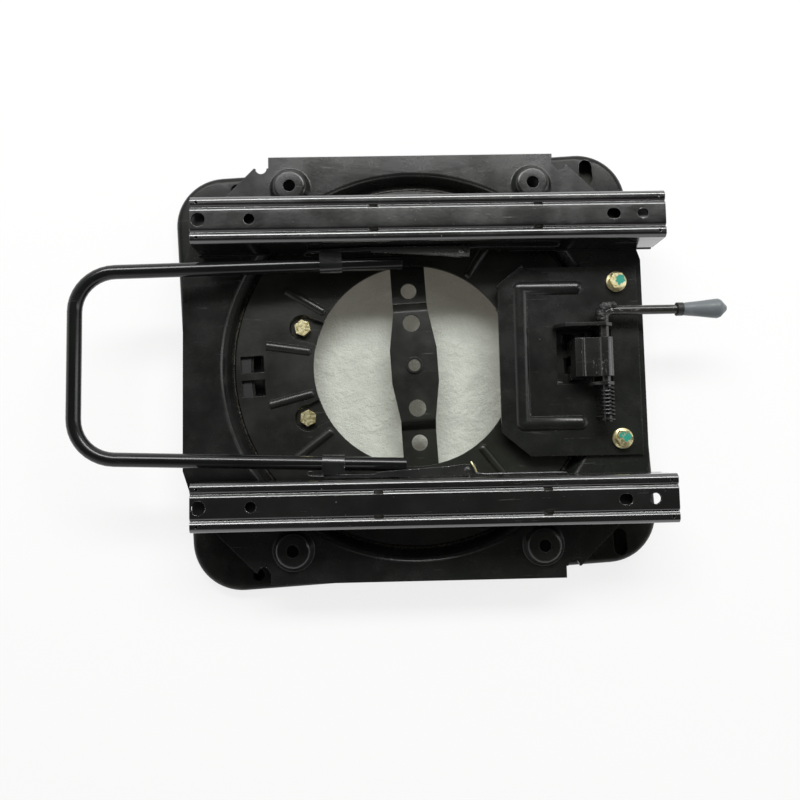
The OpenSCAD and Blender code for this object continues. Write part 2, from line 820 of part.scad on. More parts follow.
module bead_line(r) {
    translate([bead_x, bead_y[1], lock_z1 - bead_sink]) rotate([-90, 0, 0])
        cylinder(r = r, h = bead_y[0] - bead_y[1]);
    for (y = bead_y) translate([bead_x, y, lock_z1 - bead_sink]) {
        sphere(r);
        rotate([0, 90, 0]) cylinder(r = r, h = bead_end_x - bead_x);
        translate([bead_end_x - bead_x, 0, 0]) sphere(r);
    }
}

module lock_outline() {
    half = [[lock_x1, lock_half_w], [lock_x0 + lock_cut_x, lock_half_w], [lock_x0, lock_half_w - lock_cut_y]];
    polygon(concat(half, reversed([for (p = half) [p.x, -p.y]])));
}

module ear(x0, y0) {
    along_y(y0, y0 + ear_t) difference() {
        union() {
            translate([x0, lock_z0]) square([axle_x + ear_back - x0, axle_z - lock_z0 - ear_top_r]);
            polygon([[x0, axle_z - ear_top_r - over], [x0, axle_z - ear_top_r],
                [x0 + ear_top_r, axle_z + rod_r], [axle_x, axle_z + ear_top_r],
                [axle_x + ear_back, axle_z], [axle_x + ear_back, axle_z - ear_top_r - over]]);
        }
        translate([axle_x, axle_z]) circle(rod_r + axle_play);
    }
}

module corner_tab() {
    slope = atan2(lock_cut_y, lock_cut_x);
    translate([lock_x0 + lock_cut_x / 2, lock_half_w - lock_cut_y / 2, lock_z1 - tab_t])
        rotate([0, 0, slope]) rotate([tab_tilt, 0, 0])
            translate([-tab_l / 2, -tab_w / 2, 0]) cube([tab_l, tab_w, tab_t]);
}

module lock_plate() {
    color(black) difference() {
        union() {
            translate([0, 0, lock_z0]) linear_extrude(lock_t) lock_outline();
            intersection() {
                bead_line(bead_r);
                translate([0, -lock_half_w, lock_z0 + lock_t / 2]) cube([lock_x1, 2 * lock_half_w, bead_r]);
            }
            ear(ear_far_x0, win_y1);
            ear(ear_near_x0, win_y0 - ear_t);
            corner_tab();
        }
        translate([win_x0, win_y0, lock_z0 - over])
            cube([win_x1 - win_x0, win_y1 - win_y0, lock_t + 2 * over]);
        bead_line(bead_r - lock_t);
        for (y = [-lock_bolt_y, lock_bolt_y]) hole(lock_bolt_x, y, screw_hole_r, lock_z0, lock_z1);
    }
}

module at_lock_bolts() {
    for (y = [-lock_bolt_y, lock_bolt_y]) translate([lock_bolt_x, y, 0]) children();
}

module lock_plate_bolts() {
    grip = lock_t + turn_t + nut_h + screw_past_nut;
    color(zinc) at_lock_bolts() translate([0, 0, lock_z1]) {
        cylinder(r = flange_head_r, h = flange_head_h);
        translate([0, 0, flange_head_h])
            cylinder(r1 = flange_head_r, r2 = screw_across / 2, h = flange_cone_h);
        hex_prism(screw_across, flange_head_h, flange_head_h + flange_hex_h);
        translate([0, 0, -grip]) cylinder(r = screw_r, h = grip + flange_head_h);
    }
}

module lock_plate_nuts() {
    color(zinc) at_lock_bolts() translate([0, 0, rim_z0]) hex_nut();
}

module lock_rod() {
    color([0.2, 0.2, 0.2]) translate([axle_x, 0, axle_z]) {
        translate([0, rod_near_end, 0]) rotate([-90, 0, 0])
            cylinder(r = rod_r, h = rod_y - rod_bend_r - rod_near_end);
        translate([rod_bend_r, rod_y - rod_bend_r, 0]) rotate([0, 0, 90])
            rotate_extrude(angle = 90) translate([rod_bend_r, 0]) circle(rod_r);
        translate([rod_bend_r, rod_y, 0]) rotate([0, 90, 0])
            cylinder(r = rod_r, h = rod_end_x - axle_x - rod_bend_r);
    }
}

module lock_pawl() {
    hub_r = rod_r + hub_wall;
    top = axle_z + pawl_top;
    tooth_z = disc_z1 + ride_clear;
    shoulder = tooth_z + pawl_shoulder;
    arm = [[axle_x, top], [pawl_x0, top], [pawl_x0, shoulder], [pawl_x1, shoulder],
        [pawl_x1, top - pawl_arm_t - pawl_top], [axle_x, axle_z - rod_r - pawl_top / 2]];
    tooth_w = lock_slot_w - 2 * tooth_side_play;
    color(black) difference() {
        union() {
            along_y(pawl_y0, pawl_y1) polygon(arm);
            along_y(pawl_y0, pawl_y1) translate([axle_x, axle_z]) circle(hub_r);
            for (side = [-1, 1])
                translate([pawl_x0, side * (lock_slot_bar + lock_slot_w) / 2 - tooth_w / 2, tooth_z])
                    cube([pawl_x1 - pawl_x0, tooth_w, shoulder - tooth_z]);
            translate([lock_slot_x, pawl_y0, top]) rotate([-90, 0, 0])
                cylinder(r = pawl_bead_r, h = pawl_y1 - pawl_y0);
        }
        translate([axle_x, pawl_y0 - over, axle_z]) rotate([-90, 0, 0])
            cylinder(r = rod_r + pawl_play, h = pawl_y1 - pawl_y0 + 2 * over);
    }
}

module lock_spring() {
    steps = coil_turns * coil_steps;
    coil = [for (i = [0 : steps])
        let (a = 360 * i / coil_steps)
        [axle_x + coil_r * sin(a), coil_y0 + (coil_y1 - coil_y0) * i / steps, axle_z + coil_r * cos(a)]];
    foot = [axle_x - coil_r, coil_y1, lock_z1 + coil_wire_r + ride_clear];
    color([0.25, 0.25, 0.25]) swept(concat(coil, [foot]), coil_wire_r, [0, 1, 0], wire_sides);
}

module axle_clip() {
    color(steel) translate([axle_x, 0, axle_z])
        along_y(rod_near_end + clip_ring_t, rod_near_end + 2 * clip_ring_t) difference() {
            circle(rod_r + clip_ring_w);
            circle(rod_r + clip_groove_play);
        }
}

module lever_collar() {
    x0 = rod_end_x + nose_l - grip_l - collar_l;
    color(black) translate([x0, rod_y, axle_z]) rotate([0, 90, 0]) difference() {
        cylinder(r = rod_r + collar_wall, h = collar_l);
        translate([0, 0, -over]) cylinder(r = rod_r + clip_groove_play, h = collar_l + 2 * over);
    }
}

module lever_grip() {
    x0 = rod_end_x + nose_l - grip_l;
    r = grip_d / 2;
    bore_r = rod_r + clip_groove_play;
    side = [for (i = [0 : len(grip_shares) - 1]) [r * grip_shares[i], grip_l * grip_at_shares[i]]];
    color([0.48, 0.5, 0.52]) translate([x0, rod_y, axle_z]) rotate([0, 90, 0]) difference() {
        rotate_extrude() polygon(concat([[0, 0]], side, [[r * nose_share, grip_l], [0, grip_l]]));
        translate([0, 0, -over]) cylinder(r = bore_r, h = grip_l - nose_l + over + clip_groove_play);
    }
}

// Release bar: one bent tube, carried by a latch lever at each rail

function bar_bend(side) = [for (i = [0 : bar_steps])
    let (a = (90 - bar_spread) * i / bar_steps)
    [bar_bend_r * (1 - cos(a)) - bar_reach, side * (bar_front_half + bar_bend_r * sin(a)), 0]];
function bar_end(side, past) = [past, side * (bar_half + past * tan(bar_spread)), 0];
function bar_path(past) = concat([bar_end(1, past)], reversed(bar_bend(1)), bar_bend(-1),
    [bar_end(-1, past)]);

module in_bar_plane() {
    translate([bar_rear_x, 0, bar_z]) rotate([0, bar_pitch, 0]) children();
}

module release_bar() {
    color(black) in_bar_plane() difference() {
        swept(bar_path(0), bar_r, [0, 0, 1], bar_sides);
        swept(bar_path(over), bar_r - bar_wall, [0, 0, 1], bar_sides);
    }
}

// Places a piece on a leg's middle line, its x axis along the leg
module at_clip(side) {
    back = clip_x - bar_rear_x;
    on_side(side) in_bar_plane() translate([back, bar_half + back * tan(bar_spread), 0])
        rotate([0, 0, bar_spread]) children();
}

module bar_clip(side) {
    r = bar_r + clip_play;
    color(black) intersection() {
        at_clip(side) difference() {
            union() {
                rotate([0, 90, 0]) cylinder(r = r + clip_t, h = clip_l, center = true);
                translate([-clip_l / 2, 0, r]) cube([clip_l, clip_lap, clip_t]);
            }
            rotate([0, 90, 0]) cylinder(r = r, h = clip_l + 2 * over, center = true);
            translate([-clip_l, r / 2, -2 * bar_r]) cube([2 * clip_l, bar_d, 2 * bar_r]);
        }
        on_side(side) translate([lever_x0, 0, 0]) cube([-lever_x0, lever_y0, rail_top]);
    }
}

module latch_lever(side) {
    web = [[lever_x0, lever_foot], [lever_x0, lever_foot + lever_nose],
        [lever_flange_x0, lever_top], [lever_x1, lever_top], [lever_x1, lever_foot],
        [lever_flange_x0, lever_foot]];
    flange = [[lever_flange_x0, lever_y1], [lever_x1, lever_y1], [lever_x1, lever_y1 - lever_flange_w],
        [lug_x + lug_l, lever_y1 - lever_flange_w], [lug_x, lever_y1 - lever_flange_w * lug_share],
        [lever_flange_x0, lever_y0 - lever_t / 2]];
    foot_top = rim_z1 + lower_t;
    color(black) on_side(side) difference() {
        union() {
            along_y(lever_y0, lever_y1) polygon(web);
            translate([0, 0, lever_top - lever_flange_t]) linear_extrude(lever_flange_t) polygon(flange);
            translate([finger_x - finger_l / 2, lever_y0, foot_top + finger_clear])
                cube([finger_l, lever_t, lever_top - lever_flange_t - foot_top]);
            translate([finger_x - finger_l / 2, lever_y0, foot_top + finger_clear])
                cube([finger_l, rail_in_y + finger_reach - lever_y0, finger_t]);
            translate([pin_at.x, lever_y1 - pin_at.y, lever_top])
                cylinder(r1 = pin_head_r, r2 = pin_head_r / 2, h = pin_head_h);
        }
        translate([latch_x, lever_y1 + over, latch_z]) rotate([90, 0, 0])
            cylinder(r = rivet_d / 2 + latch_play, h = lever_t + 2 * over);
    }
}

module latch_rivet(side) {
    r = rivet_d / 2;
    color(steel) on_side(side) translate([latch_x, 0, latch_z]) rotate([-90, 0, 0]) {
        translate([0, 0, lever_y0 - latch_play]) cylinder(r = r, h = rail_in_y + upper_t - lever_y0);
        translate([0, 0, lever_y0 - latch_play - rivet_head_h])
            cylinder(r1 = r, r2 = rivet_head_r, h = rivet_head_h);
    }
}

module latch_spring(side) {
    y = lever_y1 - wire_r;
    z = lever_top + wire_r + latch_play;
    path = [[pin_at.x + pin_head_r + 2 * wire_r, y - pin_at.y, z], [lever_x1, y - wire_r, z],
        [lever_x1 + finger_l, y, z - wire_r], [lever_x1 + 3 * finger_l, y, z - 2 * wire_r],
        [wire_hook_x - finger_l, y, wire_hook_z + wire_r],
        [wire_hook_x - wire_r, y + wire_r / 2, wire_hook_z], [wire_hook_x, rail_in_y, wire_hook_z],
        [wire_hook_x, rail_in_y + upper_t - wire_r, wire_hook_z]];
    color(zinc) on_side(side) swept(path, wire_r, [0, 0, 1], wire_sides);
}

base_plate();
retaining_disc();
disc_bolts();
disc_nuts();
glide_ring();
centre_strap();
strap_rivets();
race_balls();
ball_cage();
turntable_plate();
lower_rail(1);  // right_lower_rail
lower_rail(-1);  // left_lower_rail
upper_rail(1);  // right_upper_rail
upper_rail(-1);  // left_upper_rail
rail_balls(1);  // right_rail_balls
rail_balls(-1);  // left_rail_balls
rail_cage(1);  // right_rail_cage
rail_cage(-1);  // left_rail_cage
lock_plate();
lock_plate_bolts();
lock_plate_nuts();
lock_rod();
lock_pawl();
lock_spring();
axle_clip();
lever_collar();
lever_grip();
release_bar();
bar_clip(1);  // right_bar_clip
bar_clip(-1);  // left_bar_clip
latch_lever(1);  // right_latch_lever
latch_lever(-1);  // left_latch_lever
latch_rivet(1);  // right_latch_rivet
latch_rivet(-1);  // left_latch_rivet
latch_spring(1);  // right_latch_spring
latch_spring(-1);  // left_latch_spring
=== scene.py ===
"""Swivel seat base: paint, plating, small parts and a photo studio for the packed model."""

import math
import random

import bmesh
import bpy
from bpy.props import FloatProperty, FloatVectorProperty, IntProperty, PointerProperty
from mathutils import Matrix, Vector, geometry, noise


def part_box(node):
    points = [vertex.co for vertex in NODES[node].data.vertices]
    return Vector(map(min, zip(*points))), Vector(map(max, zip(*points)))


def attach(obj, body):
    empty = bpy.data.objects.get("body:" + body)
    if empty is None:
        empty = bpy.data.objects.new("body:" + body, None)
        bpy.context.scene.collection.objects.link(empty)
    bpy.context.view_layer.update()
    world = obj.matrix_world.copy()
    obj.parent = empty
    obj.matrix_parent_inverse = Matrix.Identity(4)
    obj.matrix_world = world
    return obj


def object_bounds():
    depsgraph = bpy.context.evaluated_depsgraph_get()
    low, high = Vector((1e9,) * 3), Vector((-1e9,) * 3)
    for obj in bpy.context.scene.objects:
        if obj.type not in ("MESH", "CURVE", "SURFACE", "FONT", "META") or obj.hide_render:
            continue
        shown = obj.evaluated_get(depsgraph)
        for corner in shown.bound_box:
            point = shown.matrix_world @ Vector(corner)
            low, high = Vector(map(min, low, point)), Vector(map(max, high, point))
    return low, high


bl_info = {
    "name": "Swivel Seat Base",
    "version": (1, 0, 0),
    "blender": (4, 5, 0),
    "location": "3D View > Sidebar > Seat Base",
    "description": "Dresses a camper's swivel seat base: paint, plating, grease, weld and studio",
    "category": "Object",
}

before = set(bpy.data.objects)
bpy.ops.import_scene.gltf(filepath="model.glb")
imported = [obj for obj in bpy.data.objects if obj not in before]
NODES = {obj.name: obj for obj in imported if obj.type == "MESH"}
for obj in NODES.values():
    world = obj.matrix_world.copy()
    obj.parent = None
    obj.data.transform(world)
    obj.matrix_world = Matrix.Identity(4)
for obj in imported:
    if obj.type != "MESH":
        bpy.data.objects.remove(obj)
CAD_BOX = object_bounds()
MM = 0.001

# Places on the CAD model, in metres
RAIL_MIDDLE_X = 0.013
RIDGE_Z = (0.0752, 0.0768)  # just under the upper rails' ridges, and their tops
ROD_TOP_Z = (0.0565, 0.0580)
PLATE_BOLT_Z = (0.0452, 0.0462)  # the lock plate bolts' flanges, and the heads above them
RIGHT_DAB = (0.1818, 0.0705, 0.0480)
LEFT_DAB = (0.1805, -0.0680, 0.0480)
SLOT_RIM = (0.1636, 0.1920, 0.014)
PAWL_FACE = (0.158, -0.006, 0.060)
DISC_BOLT_RING = 0.1055
DISC_BOLT_ANGLES = (22.5, -22.5, 157.5, 202.5)
DISC_BOLT_TURN = math.radians(3)
BOLT_RADIUS = 0.004
FLANGE_RADIUS = 0.009
GREASE_RING = 0.1611
WELL_FLOOR_Z = 0.025

# The finishes, in metres
CHIP_WIDTH = 0.0009
PAINT_ROUNDING = 0.0007
FINE_ROUNDING = 0.0004
STEEL_ROUNDING = 0.0003

# The small parts: metres, unless noted
PATH_STEPS = 6  # steps between two points of a bent wire
TIP_STEPS = 100  # how many of its path's steps a wire's tip stands out, per metre of radius
THREAD_STEPS = 40  # steps round one turn
THREAD_DEPTH = 0.00045
THREAD_PROFILE = ((0, 0.36), (1, 0.06), (1, -0.06), (0, -0.36))  # 0 root, 1 crest; rise in pitches
THREAD_SINK = 0.0001
WELD_LEVELS = (53.4, 57.2)  # mm
WELD_CROWN = (0.0016, -0.0010, 0.0590)
WELD_GRID = 0.0004
GREASE_LIFT = 0.0007
GREASE_THICKNESS = 0.00105
JOIN_GAP = 0.00001
BEND_ANGLE = math.radians(38)
FLAT_WEIGHT = 80  # percent

# The studio, in metres
FLOOR_DROP = 0.0002
GROUND_LIFT = 0.0001
GROUND_SHARE = 0.993  # of the base plate's outline
LAMP_TARGET = Vector((0, 0, 0.03))
LAMPS = {  # place and size
    "window": ((0.05, 1.15, 1.42), (1.9, 0.48)),
    "side": ((1.40, 0.15, 0.95), (0.30, 1.2)),
    "fill": ((-0.9, -1.3, 1.1), (1.2, 1.2)),
}


def paint_colour(label, default):
    """A colour setting."""
    return FloatVectorProperty(
        name=label,
        description=f"{label}, linear",
        subtype="COLOR",
        size=3,
        min=0,
        max=1,
        default=default,
    )


def share(label, text, default):
    """A setting from 0 to 1."""
    return FloatProperty(
        name=label, description=text, subtype="FACTOR", min=0, max=1, default=default
    )


def power(label, text, default):
    """A lamp's power in watts."""
    return FloatProperty(
        name=label, description=text, unit="POWER", min=0, max=500, default=default
    )


def length(label, text, default, low, high):
    """A length setting in metres."""
    return FloatProperty(
        name=label,
        description=text,
        subtype="DISTANCE",
        unit="LENGTH",
        precision=5,
        min=low,
        max=high,
        default=default,
    )


class SeatBasePaint(bpy.types.PropertyGroup):
    """Black paint on the pressed sheet."""

    plate: paint_colour("Base plate black", (0.0105, 0.0107, 0.0102))
    disc: paint_colour("Retaining disc black", (0.0125, 0.0125, 0.0110))
    turntable: paint_colour("Turntable black", (0.0105, 0.0106, 0.0103))
    rail: paint_colour("Rail black", (0.0065, 0.0065, 0.0067))
    lock: paint_colour("Lock plate black", (0.0100, 0.0100, 0.0097))
    bar: paint_colour("Release bar black", (0.0070, 0.0072, 0.0075))
    bare: paint_colour("Bare steel under a chip", (0.58, 0.58, 0.57))
    dust: paint_colour("Dust", (0.17, 0.165, 0.15))
    satin: share("Satin roughness", "Roughness of the satin paint", 0.30)
    gloss: share("Gloss roughness", "Roughness of the rails' and the bar's glossier paint", 0.17)
    peel: length("Orange peel", "Height of the paint's fine waves", 0.000035, 0, 0.001)


class SeatBaseMetal(bpy.types.PropertyGroup):
    """Plated, bare and oiled steel, and brass."""

    zinc: paint_colour("Yellow zinc", (0.72, 0.62, 0.30))
    zinc_pale: paint_colour("Pale zinc", (0.84, 0.78, 0.50))
    zinc_tint: paint_colour("Zinc tint", (0.44, 0.36, 0.17))
    mark: paint_colour("Green torque mark", (0.012, 0.30, 0.22))
    spring: paint_colour("Spring wire", (0.055, 0.055, 0.056))
    ball: paint_colour("Ball steel", (0.72, 0.72, 0.73))
    cage: paint_colour("Cage brass", (0.62, 0.46, 0.20))
    rod: paint_colour("Rod black", (0.021, 0.019, 0.019))


class SeatBasePlastic(bpy.types.PropertyGroup):
    """The lever's grip and collar, the glides and the grease."""

    grip: paint_colour("Grip grey", (0.128, 0.144, 0.152))
    grip_scuff: paint_colour("Grip scuffs", (0.27, 0.29, 0.30))
    collar: paint_colour("Collar black", (0.012, 0.012, 0.012))
    glide: paint_colour("Glide nylon", (0.72, 0.70, 0.62))
    grease: paint_colour("Bearing grease", (0.035, 0.031, 0.022))


class SeatBaseDetails(bpy.types.PropertyGroup):
    """Small formed details."""

    weld_lump: length("Weld lump", "Radius of one lump of the lever's weld", 0.0031, 0.001, 0.006)
    hook_wire: length("Hook wire", "Radius of the latch hook's wire", 0.0008, 0.0003, 0.002)
    eye_wire: length("Eye wire", "Radius of the zinc eye's wire", 0.0009, 0.0003, 0.002)
    nib: length("Paint nib", "Radius of a drop of paint", 0.0009, 0.0002, 0.002)
    thread_pitch: length("Thread pitch", "Pitch of the bolts' threads", 0.00125, 0.0005, 0.002)
    grease_lumps: IntProperty(
        name="Grease lumps",
        description="Lumps in the ring of squeezed-out grease",
        min=24,
        max=240,
        default=120,
    )


class SeatBaseStudio(bpy.types.PropertyGroup):
    """Camera, lamps and floor."""

    place: FloatVectorProperty(
        name="Camera place",
        description="Where the camera stands over the seat base",
        subtype="TRANSLATION",
        unit="LENGTH",
        size=3,
        precision=5,
        default=(-0.02449, -0.07893, 0.67812),
    )
    turn: FloatVectorProperty(
        name="Camera turn",
        description="How the camera is tilted off straight down",
        subtype="EULER",
        unit="ROTATION",
        size=3,
        precision=4,
        default=(0.0740, -0.0152, -0.0208),
    )
    lens: FloatProperty(
        name="Lens",
        description="Focal length on a 36 mm sensor",
        subtype="DISTANCE_CAMERA",
        unit="CAMERA",
        min=10,
        max=200,
        default=32.94,
    )
    floor: paint_colour("Floor", (0.93, 0.93, 0.92))
    ground: paint_colour("Ground under the base", (0.66, 0.70, 0.63))
    # Painted glow: an emission colour on the ground's middle that stands in for light bounced there
    painted_bounce_glow: paint_colour("Light bounced on the ground", (0.060, 0.054, 0.043))
    floor_size: length("Floor size", "Side of the square floor", 24.0, 2, 60)
    ceiling: share("Ceiling", "Brightness overhead", 0.045)
    walls: share("Walls", "Brightness round the horizon", 0.95)
    glow: share("Window glow", "Brightness of the ceiling towards the window", 0.50)
    window: power("Window lamp", "Power of the long soft lamp", 34)
    side: power("Side lamp", "Power of the lamp on the lever's side", 2.5)
    fill: power("Fill lamp", "Power of the weak lamp on the other side", 1.0)


# Nodes of a material


def add(tree, kind, inputs=None, **settings):
    """A shader node with its settings, and its inputs set or linked."""
    node = tree.nodes.new(kind)
    for key, value in settings.items():
        setattr(node, key, value)
    for key, value in (inputs or {}).items():
        if isinstance(value, bpy.types.NodeSocket):
            tree.links.new(value, node.inputs[key])
        else:
            node.inputs[key].default_value = value
    return node


def place(tree):
    """Where a point is on the seat base, in metres."""
    return add(tree, "ShaderNodeTexCoord").outputs["Object"]


def stretched(tree, along, factors):
    """The place with each axis scaled, for marks that run one way."""
    return add(tree, "ShaderNodeMapping", {"Vector": along, "Scale": factors}).outputs["Vector"]


def cloud(tree, where, scale, detail, rough, swirl=0.0):
    """Soft random variation, with about scale patches to the metre."""
    inputs = {"Vector": where, "Scale": scale, "Detail": detail}
    inputs |= {"Roughness": rough, "Distortion": swirl}
    return add(tree, "ShaderNodeTexNoise", inputs).outputs["Fac"]


def between(tree, value, low, high, first=0.0, last=1.0):
    """Value mapped smoothly from low..high to first..last."""
    inputs = {"Value": value, "From Min": low, "From Max": high, "To Min": first, "To Max": last}
    node = add(tree, "ShaderNodeMapRange", inputs, interpolation_type="SMOOTHSTEP")
    return node.outputs["Result"]


def reckon(tree, operation, first, second=0.0):
    """One arithmetic step on two numbers."""
    return add(tree, "ShaderNodeMath", {0: first, 1: second}, operation=operation).outputs[0]


def times(tree, first, second):
    """Two numbers multiplied."""
    return reckon(tree, "MULTIPLY", first, second)


def most(tree, first, second):
    """The larger of two numbers."""
    return reckon(tree, "MAXIMUM", first, second)


def mixed(tree, amount, under, over):
    """Colour over laid on colour under by amount."""
    node = add(tree, "ShaderNodeMix", {0: amount, 6: rgba(under), 7: rgba(over)}, data_type="RGBA")
    return node.outputs[2]


def rgba(colour):
    """A colour as a node wants it, with links passed on."""
    return colour if isinstance(colour, bpy.types.NodeSocket) else (*tuple(colour)[:3], 1.0)


def axes(tree, where):
    """The place's x, y and z."""
    return add(tree, "ShaderNodeSeparateXYZ", {"Vector": where}).outputs


def soft_edges(tree, radius):
    """A normal that rounds sharp edges over radius."""
    return add(tree, "ShaderNodeBevel", {"Radius": radius}, samples=4).outputs["Normal"]


def edge_share(tree, radius):
    """1 near a sharp edge and 0 on flat sheet."""
    normal = add(tree, "ShaderNodeNewGeometry").outputs["Normal"]
    both = {0: soft_edges(tree, radius), 1: normal}
    dot = add(tree, "ShaderNodeVectorMath", both, operation="DOT_PRODUCT")
    return between(tree, dot.outputs["Value"], 0.985, 0.86)


def near(tree, where, point, inner, outer):
    """1 within inner of a point, fading to 0 at outer."""
    gap = add(tree, "ShaderNodeVectorMath", {0: where, 1: point}, operation="DISTANCE")
    return between(tree, gap.outputs["Value"], outer, inner)


def bumps(tree, layers, normal=None):
    """Bump nodes laid on each other: each layer is a height, its depth in metres."""
    for height, depth in layers:
        inputs = {"Height": height, "Distance": depth, "Strength": 1.0}
        if normal is not None:
            inputs["Normal"] = normal
        normal = add(tree, "ShaderNodeBump", inputs).outputs["Normal"]
    return normal


def new_finish(name):
    """An empty material, its node tree and its surface shader."""
    material = bpy.data.materials.new(name)
    material.use_nodes = True
    tree = material.node_tree
    return material, tree, tree.nodes["Principled BSDF"]


def connect(tree, shader, **inputs):
    """Sets or links the surface shader's inputs by their names, underscores for spaces."""
    for key, value in inputs.items():
        socket = shader.inputs[key.replace("_", " ")]
        if isinstance(value, bpy.types.NodeSocket):
            tree.links.new(value, socket)
        else:
            socket.default_value = rgba(value) if socket.type == "RGBA" else value


def black_paint(name, colour, rough, wear, dust=0.0, coat=0.0, scuffs=0.4, marks=None, index=1.5):
    """Black paint on steel: mottled, orange-peeled, scuffed, and chipped to steel on its edges."""
    paint = bpy.context.scene.seat_base_paint
    colour = Vector(colour)
    material, tree, shader = new_finish(name)
    where = place(tree)
    mottle = cloud(tree, where, 26, 5, 0.6)
    patch = cloud(tree, where, 7, 3, 0.55)
    grain = cloud(tree, where, 1100, 2, 0.5)
    peel = cloud(tree, where, 420, 2, 0.4)
    scuff = cloud(tree, stretched(tree, where, (22, 310, 60)), 1.0, 4, 0.62, 0.35)
    scuff = between(tree, scuff, 0.655, 0.715)
    edge = edge_share(tree, CHIP_WIDTH)
    chip = cloud(tree, where, 330, 4, 0.7)
    limit = 0.70 - 0.13 * wear
    chips = times(tree, edge, between(tree, chip, limit, limit + 0.035))
    if marks is not None:
        chips = most(tree, chips, marks(tree, where, edge))
    shade = mixed(tree, between(tree, mottle, 0.32, 0.7), colour * 0.82, colour * 1.22)
    tint = Vector((colour[0] * 1.12, colour[1] * 1.30, colour[2] * 1.02))
    shade = mixed(tree, between(tree, patch, 0.46, 0.66, 0.0, 0.8), shade, tint)
    shade = mixed(tree, times(tree, scuff, 0.10 * scuffs), shade, (0.30, 0.30, 0.29))
    if dust > 0:
        settle = between(tree, cloud(tree, where, 60, 6, 0.72), 0.42, 0.8, 0.0, dust)
        specks = between(tree, cloud(tree, where, 850, 2, 0.6), 0.70, 0.76, 0.0, dust * 2.2)
        shade = mixed(tree, most(tree, settle, specks), shade, paint.dust)
    shade = mixed(tree, chips, shade, paint.bare)
    roughness = between(tree, mottle, 0.25, 0.75, rough - 0.05, rough + 0.09)
    roughness = reckon(tree, "ADD", roughness, times(tree, scuff, 0.16))
    normal = bumps(
        tree,
        [(peel, paint.peel), (grain, 0.000006), (times(tree, chips, -1.0), 0.00006)],
        soft_edges(tree, PAINT_ROUNDING),
    )
    connect(tree, shader, Base_Color=shade, Roughness=roughness, Normal=normal)
    connect(tree, shader, Metallic=times(tree, chips, 0.85), IOR=index)
    if coat:
        connect(tree, shader, Coat_Weight=coat, Coat_Roughness=0.12)
    return material


def rail_scuffs(tree, where, edge):
    """Paint rubbed off the rails' ridges near their two ends, and stray specks between."""
    x, _, z = axes(tree, where)
    off_middle = reckon(tree, "ABSOLUTE", reckon(tree, "SUBTRACT", x, RAIL_MIDDLE_X))
    at_end = between(tree, off_middle, 0.10, 0.19, 0.08, 1.0)
    high = between(tree, z, *RIDGE_Z)
    along = stretched(tree, where, (110, 520, 300))
    rub = between(tree, cloud(tree, along, 1.0, 4, 0.7), 0.56, 0.62)
    rubbed = times(tree, times(tree, rub, edge), times(tree, at_end, high))
    speck = between(tree, cloud(tree, where, 620, 1, 0.5), 0.80, 0.815, 0.0, 0.8)
    return most(tree, rubbed, speck)


def rod_scuffs(tree, where, edge):
    """Bright scuffs on the lever rod's top past its bend, and dull ones towards the grip."""
    x, _, z = axes(tree, where)
    span = times(tree, between(tree, x, 0.165, 0.172), between(tree, x, 0.196, 0.186))
    far = times(tree, between(tree, x, 0.190, 0.20), 0.3)
    top = between(tree, z, *ROD_TOP_Z)
    along = stretched(tree, where, (160, 420, 300))
    rub = between(tree, cloud(tree, along, 1.0, 5, 0.75), 0.57, 0.63)
    return times(tree, most(tree, span, far), times(tree, top, rub))


def slot_scuffs(tree, where, edge):
    """Bare bright specks on the rim of the base plate's rear right slot."""
    rim = near(tree, where, SLOT_RIM, 0.004, 0.013)
    rub = between(tree, cloud(tree, where, 480, 3, 0.6), 0.44, 0.5)
    return times(tree, times(tree, rim, rub), edge)


def pawl_scuffs(tree, where, edge):
    """Rubbed patches on the pawl's face, beside the axle."""
    spot = near(tree, where, PAWL_FACE, 0.002, 0.010)
    along = stretched(tree, where, (900, 260, 300))
    rub = between(tree, cloud(tree, along, 1.0, 4, 0.7), 0.60, 0.65)
    return times(tree, spot, rub)


def plated(name, marks=False):
    """Yellow zinc plate: tinted clouds, fine pits and, with marks, the dabs of green paint."""
    metal = bpy.context.scene.seat_base_metal
    material, tree, shader = new_finish(name)
    where = place(tree)
    cloudy = cloud(tree, where, 420, 4, 0.6, 0.4)
    tinted = cloud(tree, where, 230, 3, 0.6)
    shade = mixed(tree, between(tree, cloudy, 0.38, 0.62), metal.zinc, metal.zinc_pale)
    shade = mixed(tree, between(tree, tinted, 0.52, 0.66, 0.0, 0.75), shade, metal.zinc_tint)
    grime = between(tree, cloud(tree, where, 640, 4, 0.75), 0.56, 0.68, 0.0, 0.8)
    shade = mixed(tree, grime, shade, (0.09, 0.075, 0.04))
    rough = between(tree, cloudy, 0.3, 0.7, 0.26, 0.46)
    sheen = 0.92
    if marks:
        wavy = add(tree, "ShaderNodeTexNoise", {"Vector": where, "Scale": 340.0, "Detail": 3.0})
        moved = wavy.outputs["Color"]
        steps = (("SUBTRACT", (0.5, 0.5, 0.5)), ("MULTIPLY", (0.012, 0.012, 0)), ("ADD", where))
        for step, value in steps:
            both = {0: moved, 1: value}
            moved = add(tree, "ShaderNodeVectorMath", both, operation=step).outputs[0]
        right_dab = near(tree, moved, RIGHT_DAB, 0.0039, 0.0046)
        left_dab = near(tree, moved, LEFT_DAB, 0.0036, 0.0043)
        dabs = most(tree, right_dab, left_dab)
        _, _, z = axes(tree, where)
        dabs = times(tree, dabs, between(tree, z, *PLATE_BOLT_Z))
        shade = mixed(tree, dabs, shade, metal.mark)
        rough = reckon(tree, "ADD", rough, times(tree, dabs, 0.15))
        sheen = reckon(tree, "SUBTRACT", sheen, times(tree, dabs, 0.9))
    pits = cloud(tree, where, 1500, 2, 0.6)
    normal = bumps(tree, [(pits, 0.00003), (cloudy, 0.00012)], soft_edges(tree, FINE_ROUNDING))
    connect(tree, shader, Base_Color=shade, Roughness=rough, Metallic=sheen, Normal=normal)
    return material


